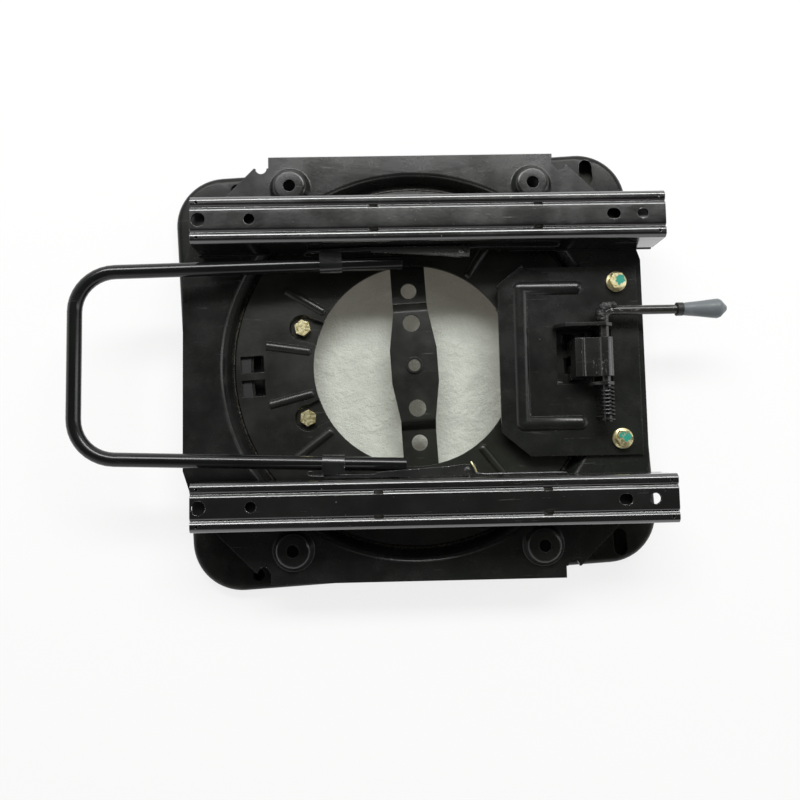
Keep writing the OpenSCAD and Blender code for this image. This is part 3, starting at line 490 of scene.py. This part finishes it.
def steel(name, colour, rough, grain=(300, 300, 300), grime=0.3):
    """Bare or oiled steel, or brass, with a drawn grain and dull patches."""
    material, tree, shader = new_finish(name)
    colour = Vector(colour)
    where = place(tree)
    lines = cloud(tree, stretched(tree, where, grain), 1.0, 3, 0.6)
    dull = cloud(tree, where, 180, 4, 0.65)
    shade = mixed(tree, between(tree, lines, 0.35, 0.65), colour * 0.8, colour * 1.15)
    shade = mixed(tree, between(tree, dull, 0.5, 0.75, 0.0, grime), shade, colour * 0.25)
    roughness = between(tree, dull, 0.3, 0.75, rough * 0.8, rough * 1.5)
    normal = bumps(tree, [(lines, 0.00002)], soft_edges(tree, STEEL_ROUNDING))
    connect(tree, shader, Base_Color=shade, Roughness=roughness, Metallic=0.95, Normal=normal)
    return material


def plastic(name, colour, worn, rough, scuffs=0.5):
    """Moulded plastic: a fine pebbled skin, paler where hands rub it."""
    material, tree, shader = new_finish(name)
    where = place(tree)
    pebbles = cloud(tree, where, 1700, 2, 0.55)
    hand = cloud(tree, where, 95, 4, 0.6)
    streaks = cloud(tree, stretched(tree, where, (60, 700, 700)), 1.0, 3, 0.6)
    shade = mixed(tree, between(tree, hand, 0.45, 0.75, 0.0, scuffs), colour, worn)
    shade = mixed(tree, between(tree, streaks, 0.62, 0.7, 0.0, scuffs * 0.7), shade, worn)
    stains = between(tree, cloud(tree, where, 400, 3, 0.6), 0.62, 0.8, 0.0, 0.5)
    shade = mixed(tree, stains, shade, Vector(colour) * 0.6)
    roughness = between(tree, hand, 0.3, 0.7, rough + 0.06, rough - 0.08)
    layers = [(pebbles, 0.00003), (streaks, 0.00002)]
    normal = bumps(tree, layers, soft_edges(tree, FINE_ROUNDING))
    connect(tree, shader, Base_Color=shade, Roughness=roughness, Normal=normal)
    return material


def grease_finish(name):
    """Old bearing grease: nearly black, wet in patches and dull in others."""
    plastics = bpy.context.scene.seat_base_plastic
    material, tree, shader = new_finish(name)
    where = place(tree)
    dirt = cloud(tree, where, 260, 5, 0.7)
    shade = mixed(tree, between(tree, dirt, 0.40, 0.62), plastics.grease, (0.008, 0.007, 0.006))
    rough = between(tree, cloud(tree, where, 420, 3, 0.6), 0.35, 0.7, 0.18, 0.5)
    normal = bumps(tree, [(cloud(tree, where, 700, 4, 0.65), 0.00025)])
    connect(tree, shader, Base_Color=shade, Roughness=rough, Normal=normal, Subsurface_Weight=0.05)
    return material


def coat(names, material):
    """Puts one finish on CAD pieces, and shades their bends smooth."""
    for name in names:
        slots = NODES[name].material_slots
        if not slots:
            NODES[name].data.materials.append(material)
        for slot in slots:
            slot.material = material
        smooth_bends(NODES[name])


def smooth_bends(node):
    """Smooth shading over a CAD piece's bends, with its sharp edges kept."""
    for face in node.data.polygons:
        face.use_smooth = True
    joined = node.modifiers.new("joined", "WELD")
    joined.merge_threshold = JOIN_GAP
    edges = node.modifiers.new("edges", "EDGE_SPLIT")
    edges.use_edge_sharp = False
    edges.split_angle = BEND_ANGLE
    node.modifiers.new("flats", "WEIGHTED_NORMAL").weight = FLAT_WEIGHT


# Shapes of the small parts


def piece(name, mesh, material, body):
    """A mesh as a new piece that moves with a body and takes the given finish."""
    thing = bpy.data.objects.new(name, mesh)
    bpy.context.scene.collection.objects.link(thing)
    thing.data.materials.append(material)
    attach(thing, body)
    return thing


def mesh_of(name, build):
    """A mesh filled by a bmesh builder, shaded smooth."""
    mesh = bpy.data.meshes.new(name)
    made = bmesh.new()
    build(made)
    bmesh.ops.recalc_face_normals(made, faces=made.faces)
    made.to_mesh(mesh)
    made.free()
    for face in mesh.polygons:
        face.use_smooth = True
    return mesh


def rounded_path(points):
    """Points on a smooth line through the given ones."""
    ends = [2 * points[0] - points[1], *points, 2 * points[-1] - points[-2]]
    made = []
    for i in range(1, len(ends) - 2):
        a, b, c, d = ends[i - 1 : i + 3]
        second = 2 * a - 5 * b + 4 * c - d
        third = 3 * b - a - 3 * c + d
        for k in range(PATH_STEPS):
            t = k / PATH_STEPS
            made.append(0.5 * (2 * b + (c - a) * t + second * t * t + third * t**3))
    return [*made, points[-1]]


def band(made, first, second):
    """The band of faces between two rings of vertices."""
    count = len(first)
    for k in range(count):
        made.faces.new((first[k], first[(k + 1) % count], second[(k + 1) % count], second[k]))


def tube(made, path, radius, sides=12, lumps=0.0, closed=False):
    """A round tube along a path, with uneven thickness where lumps is more than 0."""
    rings = []
    count = len(path)
    for i, point in enumerate(path):
        ahead = path[(i + 1) % count] if closed else path[min(i + 1, count - 1)]
        behind = path[i - 1] if closed or i else path[0]
        run = (ahead - behind).normalized()
        side = Vector((0, 0, 1)) if abs(run.z) < 0.9 else Vector((1, 0, 0))
        across = run.cross(side).normalized()
        up = across.cross(run)
        ring = []
        for k in range(sides):
            angle = 2 * math.pi * k / sides
            out = across * math.cos(angle) + up * math.sin(angle)
            swell = 1 + lumps * noise.noise((point + out * radius) * 420)
            ring.append(made.verts.new(point + out * radius * swell))
        rings.append(ring)
    pairs = zip(rings, [*rings[1:], rings[0]]) if closed else zip(rings, rings[1:])
    for first, second in pairs:
        band(made, first, second)
    if not closed:
        for ring, step in ((rings[0], path[0] - path[1]), (rings[-1], path[-1] - path[-2])):
            middle = ring[0].co.lerp(ring[sides // 2].co, 0.5)
            tip = made.verts.new(middle + step * TIP_STEPS * radius)
            for k in range(sides):
                made.faces.new((ring[k], ring[(k + 1) % sides], tip))


def lump(made, centre, radius, flat, seed, rough):
    """A rough drop of metal or paint."""
    verts = bmesh.ops.create_icosphere(made, subdivisions=3, radius=radius)["verts"]
    for vert in verts:
        out = vert.co.normalized()
        broad = noise.noise(out * 2.1 + Vector((seed, seed * 0.7, 0)))
        fine = noise.noise(out * 6.3 + Vector((0, seed, seed)))
        swell = 1 + rough * broad + 0.4 * rough * fine
        vert.co = Vector(centre) + Vector((vert.co.x, vert.co.y, vert.co.z * flat)) * swell


def thread(made, centre, top, bottom, radius, pitch):
    """The raised turns of a bolt's thread."""
    turns = (top - bottom) / pitch
    steps = max(12, round(turns * THREAD_STEPS))
    rows = []
    for i in range(steps + 1):
        angle = 2 * math.pi * turns * i / steps
        z = top - (top - bottom) * i / steps
        fade = min(1.0, 6 * i / steps, 6 * (steps - i) / steps)
        reach = (radius - THREAD_SINK, radius + THREAD_DEPTH * max(fade, 0.02))
        row = []
        for part, rise in THREAD_PROFILE:
            x = centre[0] + reach[part] * math.cos(angle)
            y = centre[1] + reach[part] * math.sin(angle)
            row.append(made.verts.new((x, y, z + rise * pitch * fade)))
        rows.append(row)
    for first, second in zip(rows, rows[1:]):
        band(made, first, second)
    made.faces.new(rows[0])
    made.faces.new(rows[-1][::-1])


# The makers


class SEATBASE_OT_base_paint(bpy.types.Operator):
    """Paint the base plate in dusty satin black, bright at one slot's rim"""

    bl_idname = "seatbase.base_paint"
    bl_label = "Base Plate Paint"

    def execute(self, context):
        """Makes and lays on the base plate's finish."""
        paint = context.scene.seat_base_paint
        made = black_paint(
            "base_black",
            paint.plate,
            paint.satin - 0.02,
            wear=0.45,
            dust=0.08,
            scuffs=0.5,
            marks=slot_scuffs,
            index=1.30,
        )
        coat(["base_plate"], made)
        return {"FINISHED"}


class SEATBASE_OT_disc_paint(bpy.types.Operator):
    """Paint the retaining disc, the centre strap and its rivets in greasy black"""

    bl_idname = "seatbase.disc_paint"
    bl_label = "Disc and Strap Paint"

    def execute(self, context):
        """Makes and lays on the disc's and strap's finish."""
        paint = context.scene.seat_base_paint
        made = black_paint("disc_black", paint.disc, paint.satin, wear=0.3, dust=0.06, scuffs=0.9)
        coat(["retaining_disc", "centre_strap", "strap_rivets"], made)
        return {"FINISHED"}


class SEATBASE_OT_turntable_paint(bpy.types.Operator):
    """Paint the turntable in satin black"""

    bl_idname = "seatbase.turntable_paint"
    bl_label = "Turntable Paint"

    def execute(self, context):
        """Makes and lays on the turntable's finish."""
        paint = context.scene.seat_base_paint
        rough = paint.satin - 0.08
        made = black_paint("turntable_black", paint.turntable, rough, wear=0.35, dust=0.05)
        coat(["turntable_plate"], made)
        return {"FINISHED"}


class SEATBASE_OT_rail_paint(bpy.types.Operator):
    """Paint the seat rails and latches in glossier black, and the rails under them in satin"""

    bl_idname = "seatbase.rail_paint"
    bl_label = "Rail Paint"

    def execute(self, context):
        """Makes and lays on the rails' and latches' finish."""
        paint = context.scene.seat_base_paint
        rails = black_paint(
            "rail_black",
            paint.rail,
            paint.gloss,
            wear=0.45,
            coat=0.9,
            scuffs=0.5,
            marks=rail_scuffs,
            index=1.85,
        )
        paler = Vector(paint.rail) * 2.0
        rough = paint.gloss + 0.06
        latches = black_paint("latch_black", paler, rough, wear=0.95, coat=0.4, index=1.8)
        dull = Vector(paint.rail) * 1.2
        rough = paint.satin + 0.04
        tracks = black_paint("track_black", dull, rough, wear=0.5, dust=0.05, index=1.4)
        for side in ("right", "left"):
            coat([f"{side}_upper_rail"], rails)
            coat([f"{side}_lower_rail"], tracks)
            coat([f"{side}_latch_lever", f"{side}_latch_rivet"], latches)
        return {"FINISHED"}


class SEATBASE_OT_lock_paint(bpy.types.Operator):
    """Paint the lock plate in satin black and the pawl in a glossier one"""

    bl_idname = "seatbase.lock_paint"
    bl_label = "Lock Paint"

    def execute(self, context):
        """Makes and lays on the lock's finishes."""
        paint = context.scene.seat_base_paint
        rough = paint.satin - 0.06
        coat(["lock_plate"], black_paint("lock_black", paint.lock, rough, wear=0.45, dust=0.05))
        pawl = black_paint(
            "pawl_black",
            paint.lock,
            paint.gloss + 0.05,
            wear=0.7,
            coat=0.3,
            marks=pawl_scuffs,
            index=1.6,
        )
        coat(["lock_pawl"], pawl)
        return {"FINISHED"}


class SEATBASE_OT_bar_paint(bpy.types.Operator):
    """Paint the release bar and its two clips in gloss black"""

    bl_idname = "seatbase.bar_paint"
    bl_label = "Release Bar Paint"

    def execute(self, context):
        """Makes and lays on the bar's finish."""
        paint = context.scene.seat_base_paint
        made = black_paint(
            "bar_black", paint.bar, paint.gloss - 0.03, wear=0.3, coat=0.1, scuffs=0.3, index=1.42
        )
        coat(["release_bar"], made)
        # The clips' black is a paler copy of the bar's: painted highlight that lightens the clips
        # all over
        paler = Vector(paint.bar) * 1.3
        rough = paint.gloss + 0.04
        clips = black_paint("clip_black", paler, rough, wear=0.95, coat=0.3, index=1.6)
        coat(["right_bar_clip", "left_bar_clip"], clips)
        return {"FINISHED"}


class SEATBASE_OT_lever_finish(bpy.types.Operator):
    """Finish the lock lever: scuffed black rod, black collar and grey moulded grip"""

    bl_idname = "seatbase.lever_finish"
    bl_label = "Lever Finish"

    def execute(self, context):
        """Makes and lays on the rod's, collar's and grip's finishes."""
        paint, metal = context.scene.seat_base_paint, context.scene.seat_base_metal
        plastics = context.scene.seat_base_plastic
        rod = black_paint(
            "rod_black", metal.rod, paint.gloss, wear=0.4, scuffs=0.9, marks=rod_scuffs
        )
        coat(["lock_rod"], rod)
        worn = Vector(plastics.collar) * 3
        coat(["lever_collar"], plastic("collar_black", plastics.collar, worn, 0.5, scuffs=0.3))
        grip = plastic("grip_grey", plastics.grip, plastics.grip_scuff, 0.46, scuffs=0.32)
        coat(["lever_grip"], grip)
        return {"FINISHED"}


class SEATBASE_OT_hardware(bpy.types.Operator):
    """Finish the bolts, nuts, springs, clip, balls, cages and glides"""

    bl_idname = "seatbase.hardware"
    bl_label = "Bolts, Springs and Bearings"

    def execute(self, context):
        """Makes and lays on the hardware's finishes."""
        metal, plastics = context.scene.seat_base_metal, context.scene.seat_base_plastic
        zinc = plated("zinc_yellow")
        coat(["disc_bolts", "disc_nuts", "lock_plate_nuts"], zinc)
        coat(["lock_plate_bolts"], plated("zinc_marked", marks=True))
        wire = steel("spring_wire", metal.spring, 0.30, (900, 120, 900), grime=0.5)
        coat(["lock_spring", "axle_clip", "right_latch_spring", "left_latch_spring"], wire)
        balls = steel("ball_steel", metal.ball, 0.07, grime=0.2)
        coat(["race_balls", "right_rail_balls", "left_rail_balls"], balls)
        coat(["ball_cage"], steel("cage_brass", metal.cage, 0.28, (240, 240, 900)))
        nylon = plastic("glide_nylon", plastics.glide, Vector(plastics.glide) * 0.8, 0.5)
        coat(["right_rail_cage", "left_rail_cage"], nylon)
        worn = Vector(plastics.collar) * 3
        coat(["glide_ring"], plastic("glide_black", plastics.collar, worn, 0.55, scuffs=0.3))
        return {"FINISHED"}


class SEATBASE_OT_weld(bpy.types.Operator):
    """Lay the rough weld that joins the lever's rod to its axle"""

    bl_idname = "seatbase.weld"
    bl_label = "Lever Weld"

    def execute(self, context):
        """Makes the weld from lumps that follow the rod's bend."""
        details, paint = context.scene.seat_base_details, context.scene.seat_base_paint
        size = details.weld_lump
        seeds = random.Random(11)
        spots = [(159.6, 34.2), (159.2, 37.0), (159.6, 39.8), (161.0, 42.6)]  # x and y in mm
        spots += [(163.4, 44.6), (166.6, 45.6), (170.2, 45.7)]

        def build(made):
            for i, (x, y) in enumerate(spots):
                for z in WELD_LEVELS:
                    spread = [seeds.uniform(-0.5, 0.5) * MM for _ in range(3)]
                    centre = (x * MM + spread[0], y * MM + spread[1], z * MM + spread[2])
                    lump(made, centre, size * seeds.uniform(0.82, 1.12), 0.9, i * 3.1 + z, 0.5)
                crown = (x * MM + WELD_CROWN[0], y * MM + WELD_CROWN[1], WELD_CROWN[2])
                lump(made, crown, size * 0.8, 0.6, i * 5.3, 0.6)

        made = mesh_of("lever_weld", build)
        slag = black_paint("weld_black", Vector(paint.lock) * 0.7, 0.42, wear=0.1, scuffs=0.2)
        thing = piece("lever_weld", made, slag, "lock_lever")
        melt = thing.modifiers.new("melt", "REMESH")
        melt.mode = "VOXEL"
        melt.voxel_size = WELD_GRID
        melt.use_smooth_shade = True
        return {"FINISHED"}


class SEATBASE_OT_latch_hooks(bpy.types.Operator):
    """Bend the wire hooks at the fronts of the latch levers and the zinc eye on the left one"""

    bl_idname = "seatbase.latch_hooks"
    bl_label = "Latch Hooks"

    def execute(self, context):
        """Makes a hook for each lever and the eye."""
        details, metal = context.scene.seat_base_details, context.scene.seat_base_metal
        wire = steel("hook_wire", metal.spring, 0.28, (700, 700, 700), grime=0.4)
        hook = [(-79.0, 96.4, 59.3), (-84.0, 96.4, 58.7), (-89.0, 96.3, 58.1), (-92.2, 95.6, 57.7)]
        hook += [(-93.4, 94.0, 57.4), (-92.4, 92.5, 57.2), (-90.4, 92.2, 57.2), (-88.6, 92.6, 57.3)]
        for side, sign in (("right", 1), ("left", -1)):
            path = rounded_path([Vector((x, sign * y, z)) * MM for x, y, z in hook])
            made = mesh_of(f"{side}_latch_hook", lambda b, p=path: tube(b, p, details.hook_wire))
            piece(f"{side}_latch_hook", made, wire, "release")
        eye = [(44.2, -86.4, 64.2), (45.0, -88.4, 65.0), (46.4, -90.8, 65.4)]
        eye += [(47.6, -93.2, 65.2), (48.2, -95.2, 64.6)]
        path = rounded_path([Vector(p) * MM for p in eye])
        made = mesh_of("left_latch_eye", lambda b: tube(b, path, details.eye_wire, 14))
        piece("left_latch_eye", made, bpy.data.materials["zinc_yellow"], "release")
        return {"FINISHED"}


class SEATBASE_OT_threads(bpy.types.Operator):
    """Cut the turns of thread that show under the nuts"""

    bl_idname = "seatbase.threads"
    bl_label = "Bolt Threads"

    def execute(self, context):
        """Makes the threads of both sets of bolts."""
        pitch = context.scene.seat_base_details.thread_pitch
        spots = [math.radians(a) + DISC_BOLT_TURN for a in DISC_BOLT_ANGLES]
        disc_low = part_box("disc_bolts")[0].z
        disc_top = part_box("disc_nuts")[0].z
        lock_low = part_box("lock_plate_bolts")[0].z
        lock_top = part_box("lock_plate_nuts")[0].z
        lock_x = sum(c.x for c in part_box("lock_plate_bolts")) / 2
        lock_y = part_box("lock_plate_bolts")[1].y - FLANGE_RADIUS

        def build_disc(made):
            for angle in spots:
                centre = (DISC_BOLT_RING * math.cos(angle), DISC_BOLT_RING * math.sin(angle))
                thread(made, centre, disc_top, disc_low, BOLT_RADIUS, pitch)

        def build_lock(made):
            for y in (lock_y, -lock_y):
                thread(made, (lock_x, y), lock_top, lock_low, BOLT_RADIUS, pitch)

        zinc = bpy.data.materials["zinc_yellow"]
        disc_turns = mesh_of("disc_bolt_threads", build_disc)
        lock_turns = mesh_of("lock_bolt_threads", build_lock)
        piece("disc_bolt_threads", disc_turns, zinc, "base")
        piece("lock_bolt_threads", lock_turns, zinc, "turntable")
        return {"FINISHED"}


class SEATBASE_OT_grease(bpy.types.Operator):
    """Squeeze out the ring of old grease between the retaining disc and the turntable's well"""

    bl_idname = "seatbase.grease"
    bl_label = "Bearing Grease"

    def execute(self, context):
        """Makes the grease ring, thick in places and nearly gone in others."""
        count = context.scene.seat_base_details.grease_lumps * 4

        def build(made):
            path = []
            for i in range(count):
                angle = 2 * math.pi * i / count
                wave = noise.noise(Vector((math.cos(angle), math.sin(angle), 0)) * 9)
                radius = GREASE_RING + 0.0005 * wave
                x, y = radius * math.cos(angle), radius * math.sin(angle)
                path.append(Vector((x, y, WELL_FLOOR_Z + GREASE_LIFT)))
            tube(made, path, GREASE_THICKNESS, 10, 0.55, closed=True)

        made = mesh_of("race_grease", build)
        piece("race_grease", made, grease_finish("grease_old"), "turntable")
        return {"FINISHED"}


class SEATBASE_OT_paint_nibs(bpy.types.Operator):
    """Drop the few nibs of paint that dried on the sheet"""

    bl_idname = "seatbase.paint_nibs"
    bl_label = "Paint Nibs"

    def execute(self, context):
        """Makes the nibs on the lock plate and on the turntable."""
        size = context.scene.seat_base_details.nib
        paint = context.scene.seat_base_paint
        paler = Vector(paint.lock) * 1.3
        drop = black_paint("nib_black", paler, 0.2, wear=0.0, scuffs=0.0, coat=0.5)
        # Each nib's place in mm, and its share of the full size
        plate = [(110.6, 18.7, 41.0, 1.0), (96.0, -20.5, 41.0, 0.6), (128.5, 49.0, 41.0, 0.5)]
        rim = [(-150.0, 103.0, 38.0, 0.8), (-187.0, 20.0, 38.0, 0.7)]
        rim += [(139.2, 172.2, 38.0, 0.9), (141.5, 173.4, 38.0, 0.6)]

        def build(spots):
            def fill(made):
                for i, (x, y, z, scale) in enumerate(spots):
                    lump(made, (x * MM, y * MM, z * MM), size * scale, 0.55, i * 2.7, 0.25)

            return fill

        plate_nibs = mesh_of("lock_plate_nibs", build(plate))
        rim_nibs = mesh_of("turntable_nibs", build(rim))
        piece("lock_plate_nibs", plate_nibs, drop, "turntable")
        piece("turntable_nibs", rim_nibs, drop, "turntable")
        return {"FINISHED"}


class SEATBASE_OT_stage(bpy.types.Operator):
    """Set the pale floor, the studio's walls and lamps, and the camera"""

    bl_idname = "seatbase.stage"
    bl_label = "Studio"

    def execute(self, context):
        """Makes the floor, the world, the lamps and the camera."""
        studio = context.scene.seat_base_studio
        self.lay_floor(context, studio)
        self.lay_ground(context, studio)
        self.light_walls(context, studio)
        for name, (spot, size) in LAMPS.items():
            self.hang_lamp(f"{name}_lamp", getattr(studio, name), spot, size)
        view = bpy.data.cameras.new("photo_camera")
        view.lens = studio.lens
        view.sensor_width = 36.0
        camera = bpy.data.objects.new("photo_camera", view)
        camera.location = studio.place
        camera.rotation_euler = studio.turn
        context.scene.collection.objects.link(camera)
        context.scene.camera = camera
        context.scene.view_settings.view_transform = "Standard"
        return {"FINISHED"}

    def lay_floor(self, context, studio):
        """A large pale floor, bright to the camera and in reflections, that keeps the shadow."""
        half = studio.floor_size / 2
        mesh = bpy.data.meshes.new("floor")
        corners = [(-half, -half, 0), (half, -half, 0), (half, half, 0), (-half, half, 0)]
        mesh.from_pydata(corners, [], [(0, 1, 2, 3)])
        floor = bpy.data.objects.new("floor", mesh)
        floor.location.z = CAD_BOX[0].z - FLOOR_DROP
        context.scene.collection.objects.link(floor)
        material = bpy.data.materials.new("floor_pale")
        material.use_nodes = True
        tree = material.node_tree
        tree.nodes.clear()
        where = place(tree)
        soil = between(tree, cloud(tree, where, 14, 6, 0.7), 0.4, 0.8, 0.0, 0.05)
        tone = mixed(tree, soil, studio.floor, (0.7, 0.69, 0.64))
        matt = add(tree, "ShaderNodeBsdfDiffuse", {"Color": tone})
        glow = add(tree, "ShaderNodeEmission", {"Color": (1, 1, 1, 1), "Strength": 1.0})
        rays = add(tree, "ShaderNodeLightPath").outputs
        seen = most(tree, rays["Is Camera Ray"], rays["Is Glossy Ray"])
        seen = most(tree, seen, rays["Is Transmission Ray"])
        close = near(tree, where, (0, 0, 0), 0.8, 3.0)
        amount = times(tree, seen, between(tree, close, 0.0, 1.0, 1.0, 0.8))
        parts = {0: amount, 1: matt.outputs[0], 2: glow.outputs[0]}
        both = add(tree, "ShaderNodeMixShader", parts)
        add(tree, "ShaderNodeOutputMaterial", {"Surface": both.outputs[0]})
        mesh.materials.append(material)

    def lay_ground(self, context, studio):
        """The worn ground under the base plate's openings: pale in the middle with a painted glow
        of bounced light there, and painted dark round it as painted shade under the plate.
        """
        low = [v.co for v in NODES["base_plate"].data.vertices if v.co.z < CAD_BOX[0].z + MM]
        rim = [low[i] for i in geometry.convex_hull_2d([Vector((c.x, c.y)) for c in low])]
        centre = sum((Vector((c.x, c.y)) for c in rim), Vector((0, 0))) / len(rim)
        spots = [centre.lerp(Vector((c.x, c.y)), GROUND_SHARE) for c in rim]
        mesh = bpy.data.meshes.new("ground")
        level = CAD_BOX[0].z + GROUND_LIFT
        mesh.from_pydata([(c.x, c.y, level) for c in spots], [], [range(len(spots))])
        ground = bpy.data.objects.new("ground", mesh)
        context.scene.collection.objects.link(ground)
        material, tree, shader = new_finish("ground_worn")
        where = place(tree)
        patches = between(tree, cloud(tree, where, 30, 6, 0.65), 0.35, 0.7)
        grit = between(tree, cloud(tree, where, 600, 4, 0.75), 0.35, 0.7)
        tone = mixed(tree, patches, Vector(studio.ground) * 0.93, Vector(studio.ground) * 1.05)
        tone = mixed(tree, times(tree, grit, 0.16), tone, (0.30, 0.29, 0.26))
        middle = near(tree, where, (0, 0, 0), 0.12, 0.16)
        # Painted shade: away from the middle the ground turns nearly black, as shade under the base
        # plate
        tone = mixed(tree, middle, (0.10, 0.10, 0.09), tone)
        # Painted glow: the middle of the ground emits a faint warm light, standing in for bounced
        # light
        painted_bounce_glow = mixed(tree, middle, (0.0, 0.0, 0.0), studio.painted_bounce_glow)
        bump = bumps(tree, [(grit, 0.0002), (patches, 0.0012)])
        connect(tree, shader, Base_Color=tone, Roughness=0.9, Normal=bump, Specular_IOR_Level=0.1)
        connect(tree, shader, Emission_Color=painted_bounce_glow, Emission_Strength=1.0)
        mesh.materials.append(material)

    def light_walls(self, context, studio):
        """Pale walls, a dim ceiling, and a greenish glow over it on the window's side."""
        world = bpy.data.worlds.new("studio_walls")
        world.use_nodes = True
        context.scene.world = world
        tree = world.node_tree
        tree.nodes.clear()
        _, y, z = axes(tree, add(tree, "ShaderNodeTexCoord").outputs["Generated"])
        wall = between(tree, z, 0.62, 0.30, studio.ceiling, studio.walls)
        glow = between(tree, y, 0.24, 0.41, 0.0, studio.glow)
        level = most(tree, wall, glow)
        tone = mixed(tree, between(tree, y, 0.2, 0.4), (1.0, 0.95, 0.97), (0.94, 1.0, 0.90))
        tone = mixed(tree, between(tree, z, 0.15, 0.45), (1.0, 1.0, 1.0), tone)
        back = add(tree, "ShaderNodeBackground", {"Color": tone, "Strength": level})
        add(tree, "ShaderNodeOutputWorld", {"Surface": back.outputs[0]})

    def hang_lamp(self, name, watts, spot, size):
        """A soft rectangular lamp aimed at the seat base."""
        data = bpy.data.lights.new(name, "AREA")
        data.shape = "RECTANGLE"
        data.size, data.size_y = size
        data.energy = watts
        lamp = bpy.data.objects.new(name, data)
        lamp.location = spot
        aim = LAMP_TARGET - Vector(spot)
        lamp.rotation_euler = aim.to_track_quat("-Z", "Y").to_euler()
        bpy.context.scene.collection.objects.link(lamp)


MAKERS = (
    SEATBASE_OT_base_paint,
    SEATBASE_OT_disc_paint,
    SEATBASE_OT_turntable_paint,
    SEATBASE_OT_rail_paint,
    SEATBASE_OT_lock_paint,
    SEATBASE_OT_bar_paint,
    SEATBASE_OT_lever_finish,
    SEATBASE_OT_hardware,
    SEATBASE_OT_weld,
    SEATBASE_OT_latch_hooks,
    SEATBASE_OT_threads,
    SEATBASE_OT_grease,
    SEATBASE_OT_paint_nibs,
    SEATBASE_OT_stage,
)
SETTINGS = {
    "seat_base_paint": SeatBasePaint,
    "seat_base_metal": SeatBaseMetal,
    "seat_base_plastic": SeatBasePlastic,
    "seat_base_details": SeatBaseDetails,
    "seat_base_studio": SeatBaseStudio,
}


class SEATBASE_PT_panel(bpy.types.Panel):
    """Settings and makers of the seat base"""

    bl_idname = "SEATBASE_PT_panel"
    bl_label = "Swivel Seat Base"
    bl_space_type = "VIEW_3D"
    bl_region_type = "UI"
    bl_category = "Seat Base"

    def draw(self, context):
        """Lists each group of settings, then a button for each maker."""
        for key, group in SETTINGS.items():
            box = self.layout.box()
            box.label(text=group.__doc__.rstrip("."))
            for name in group.__annotations__:
                box.prop(getattr(context.scene, key), name)
        for maker in MAKERS:
            self.layout.operator(maker.bl_idname)


CLASSES = (*SETTINGS.values(), *MAKERS, SEATBASE_PT_panel)


def register():
    """Registers the classes and gives the scene its settings."""
    for cls in CLASSES:
        bpy.utils.register_class(cls)
    for key, group in SETTINGS.items():
        setattr(bpy.types.Scene, key, PointerProperty(type=group))


def unregister():
    """Takes the settings and classes away again."""
    for key in SETTINGS:
        delattr(bpy.types.Scene, key)
    for cls in reversed(CLASSES):
        bpy.utils.unregister_class(cls)


def main():
    """Dresses the seat base and sets the studio."""
    register()
    for maker in MAKERS:
        group, call = maker.bl_idname.split(".")
        getattr(getattr(bpy.ops, group), call)()


if __name__ == "__main__":
    main()
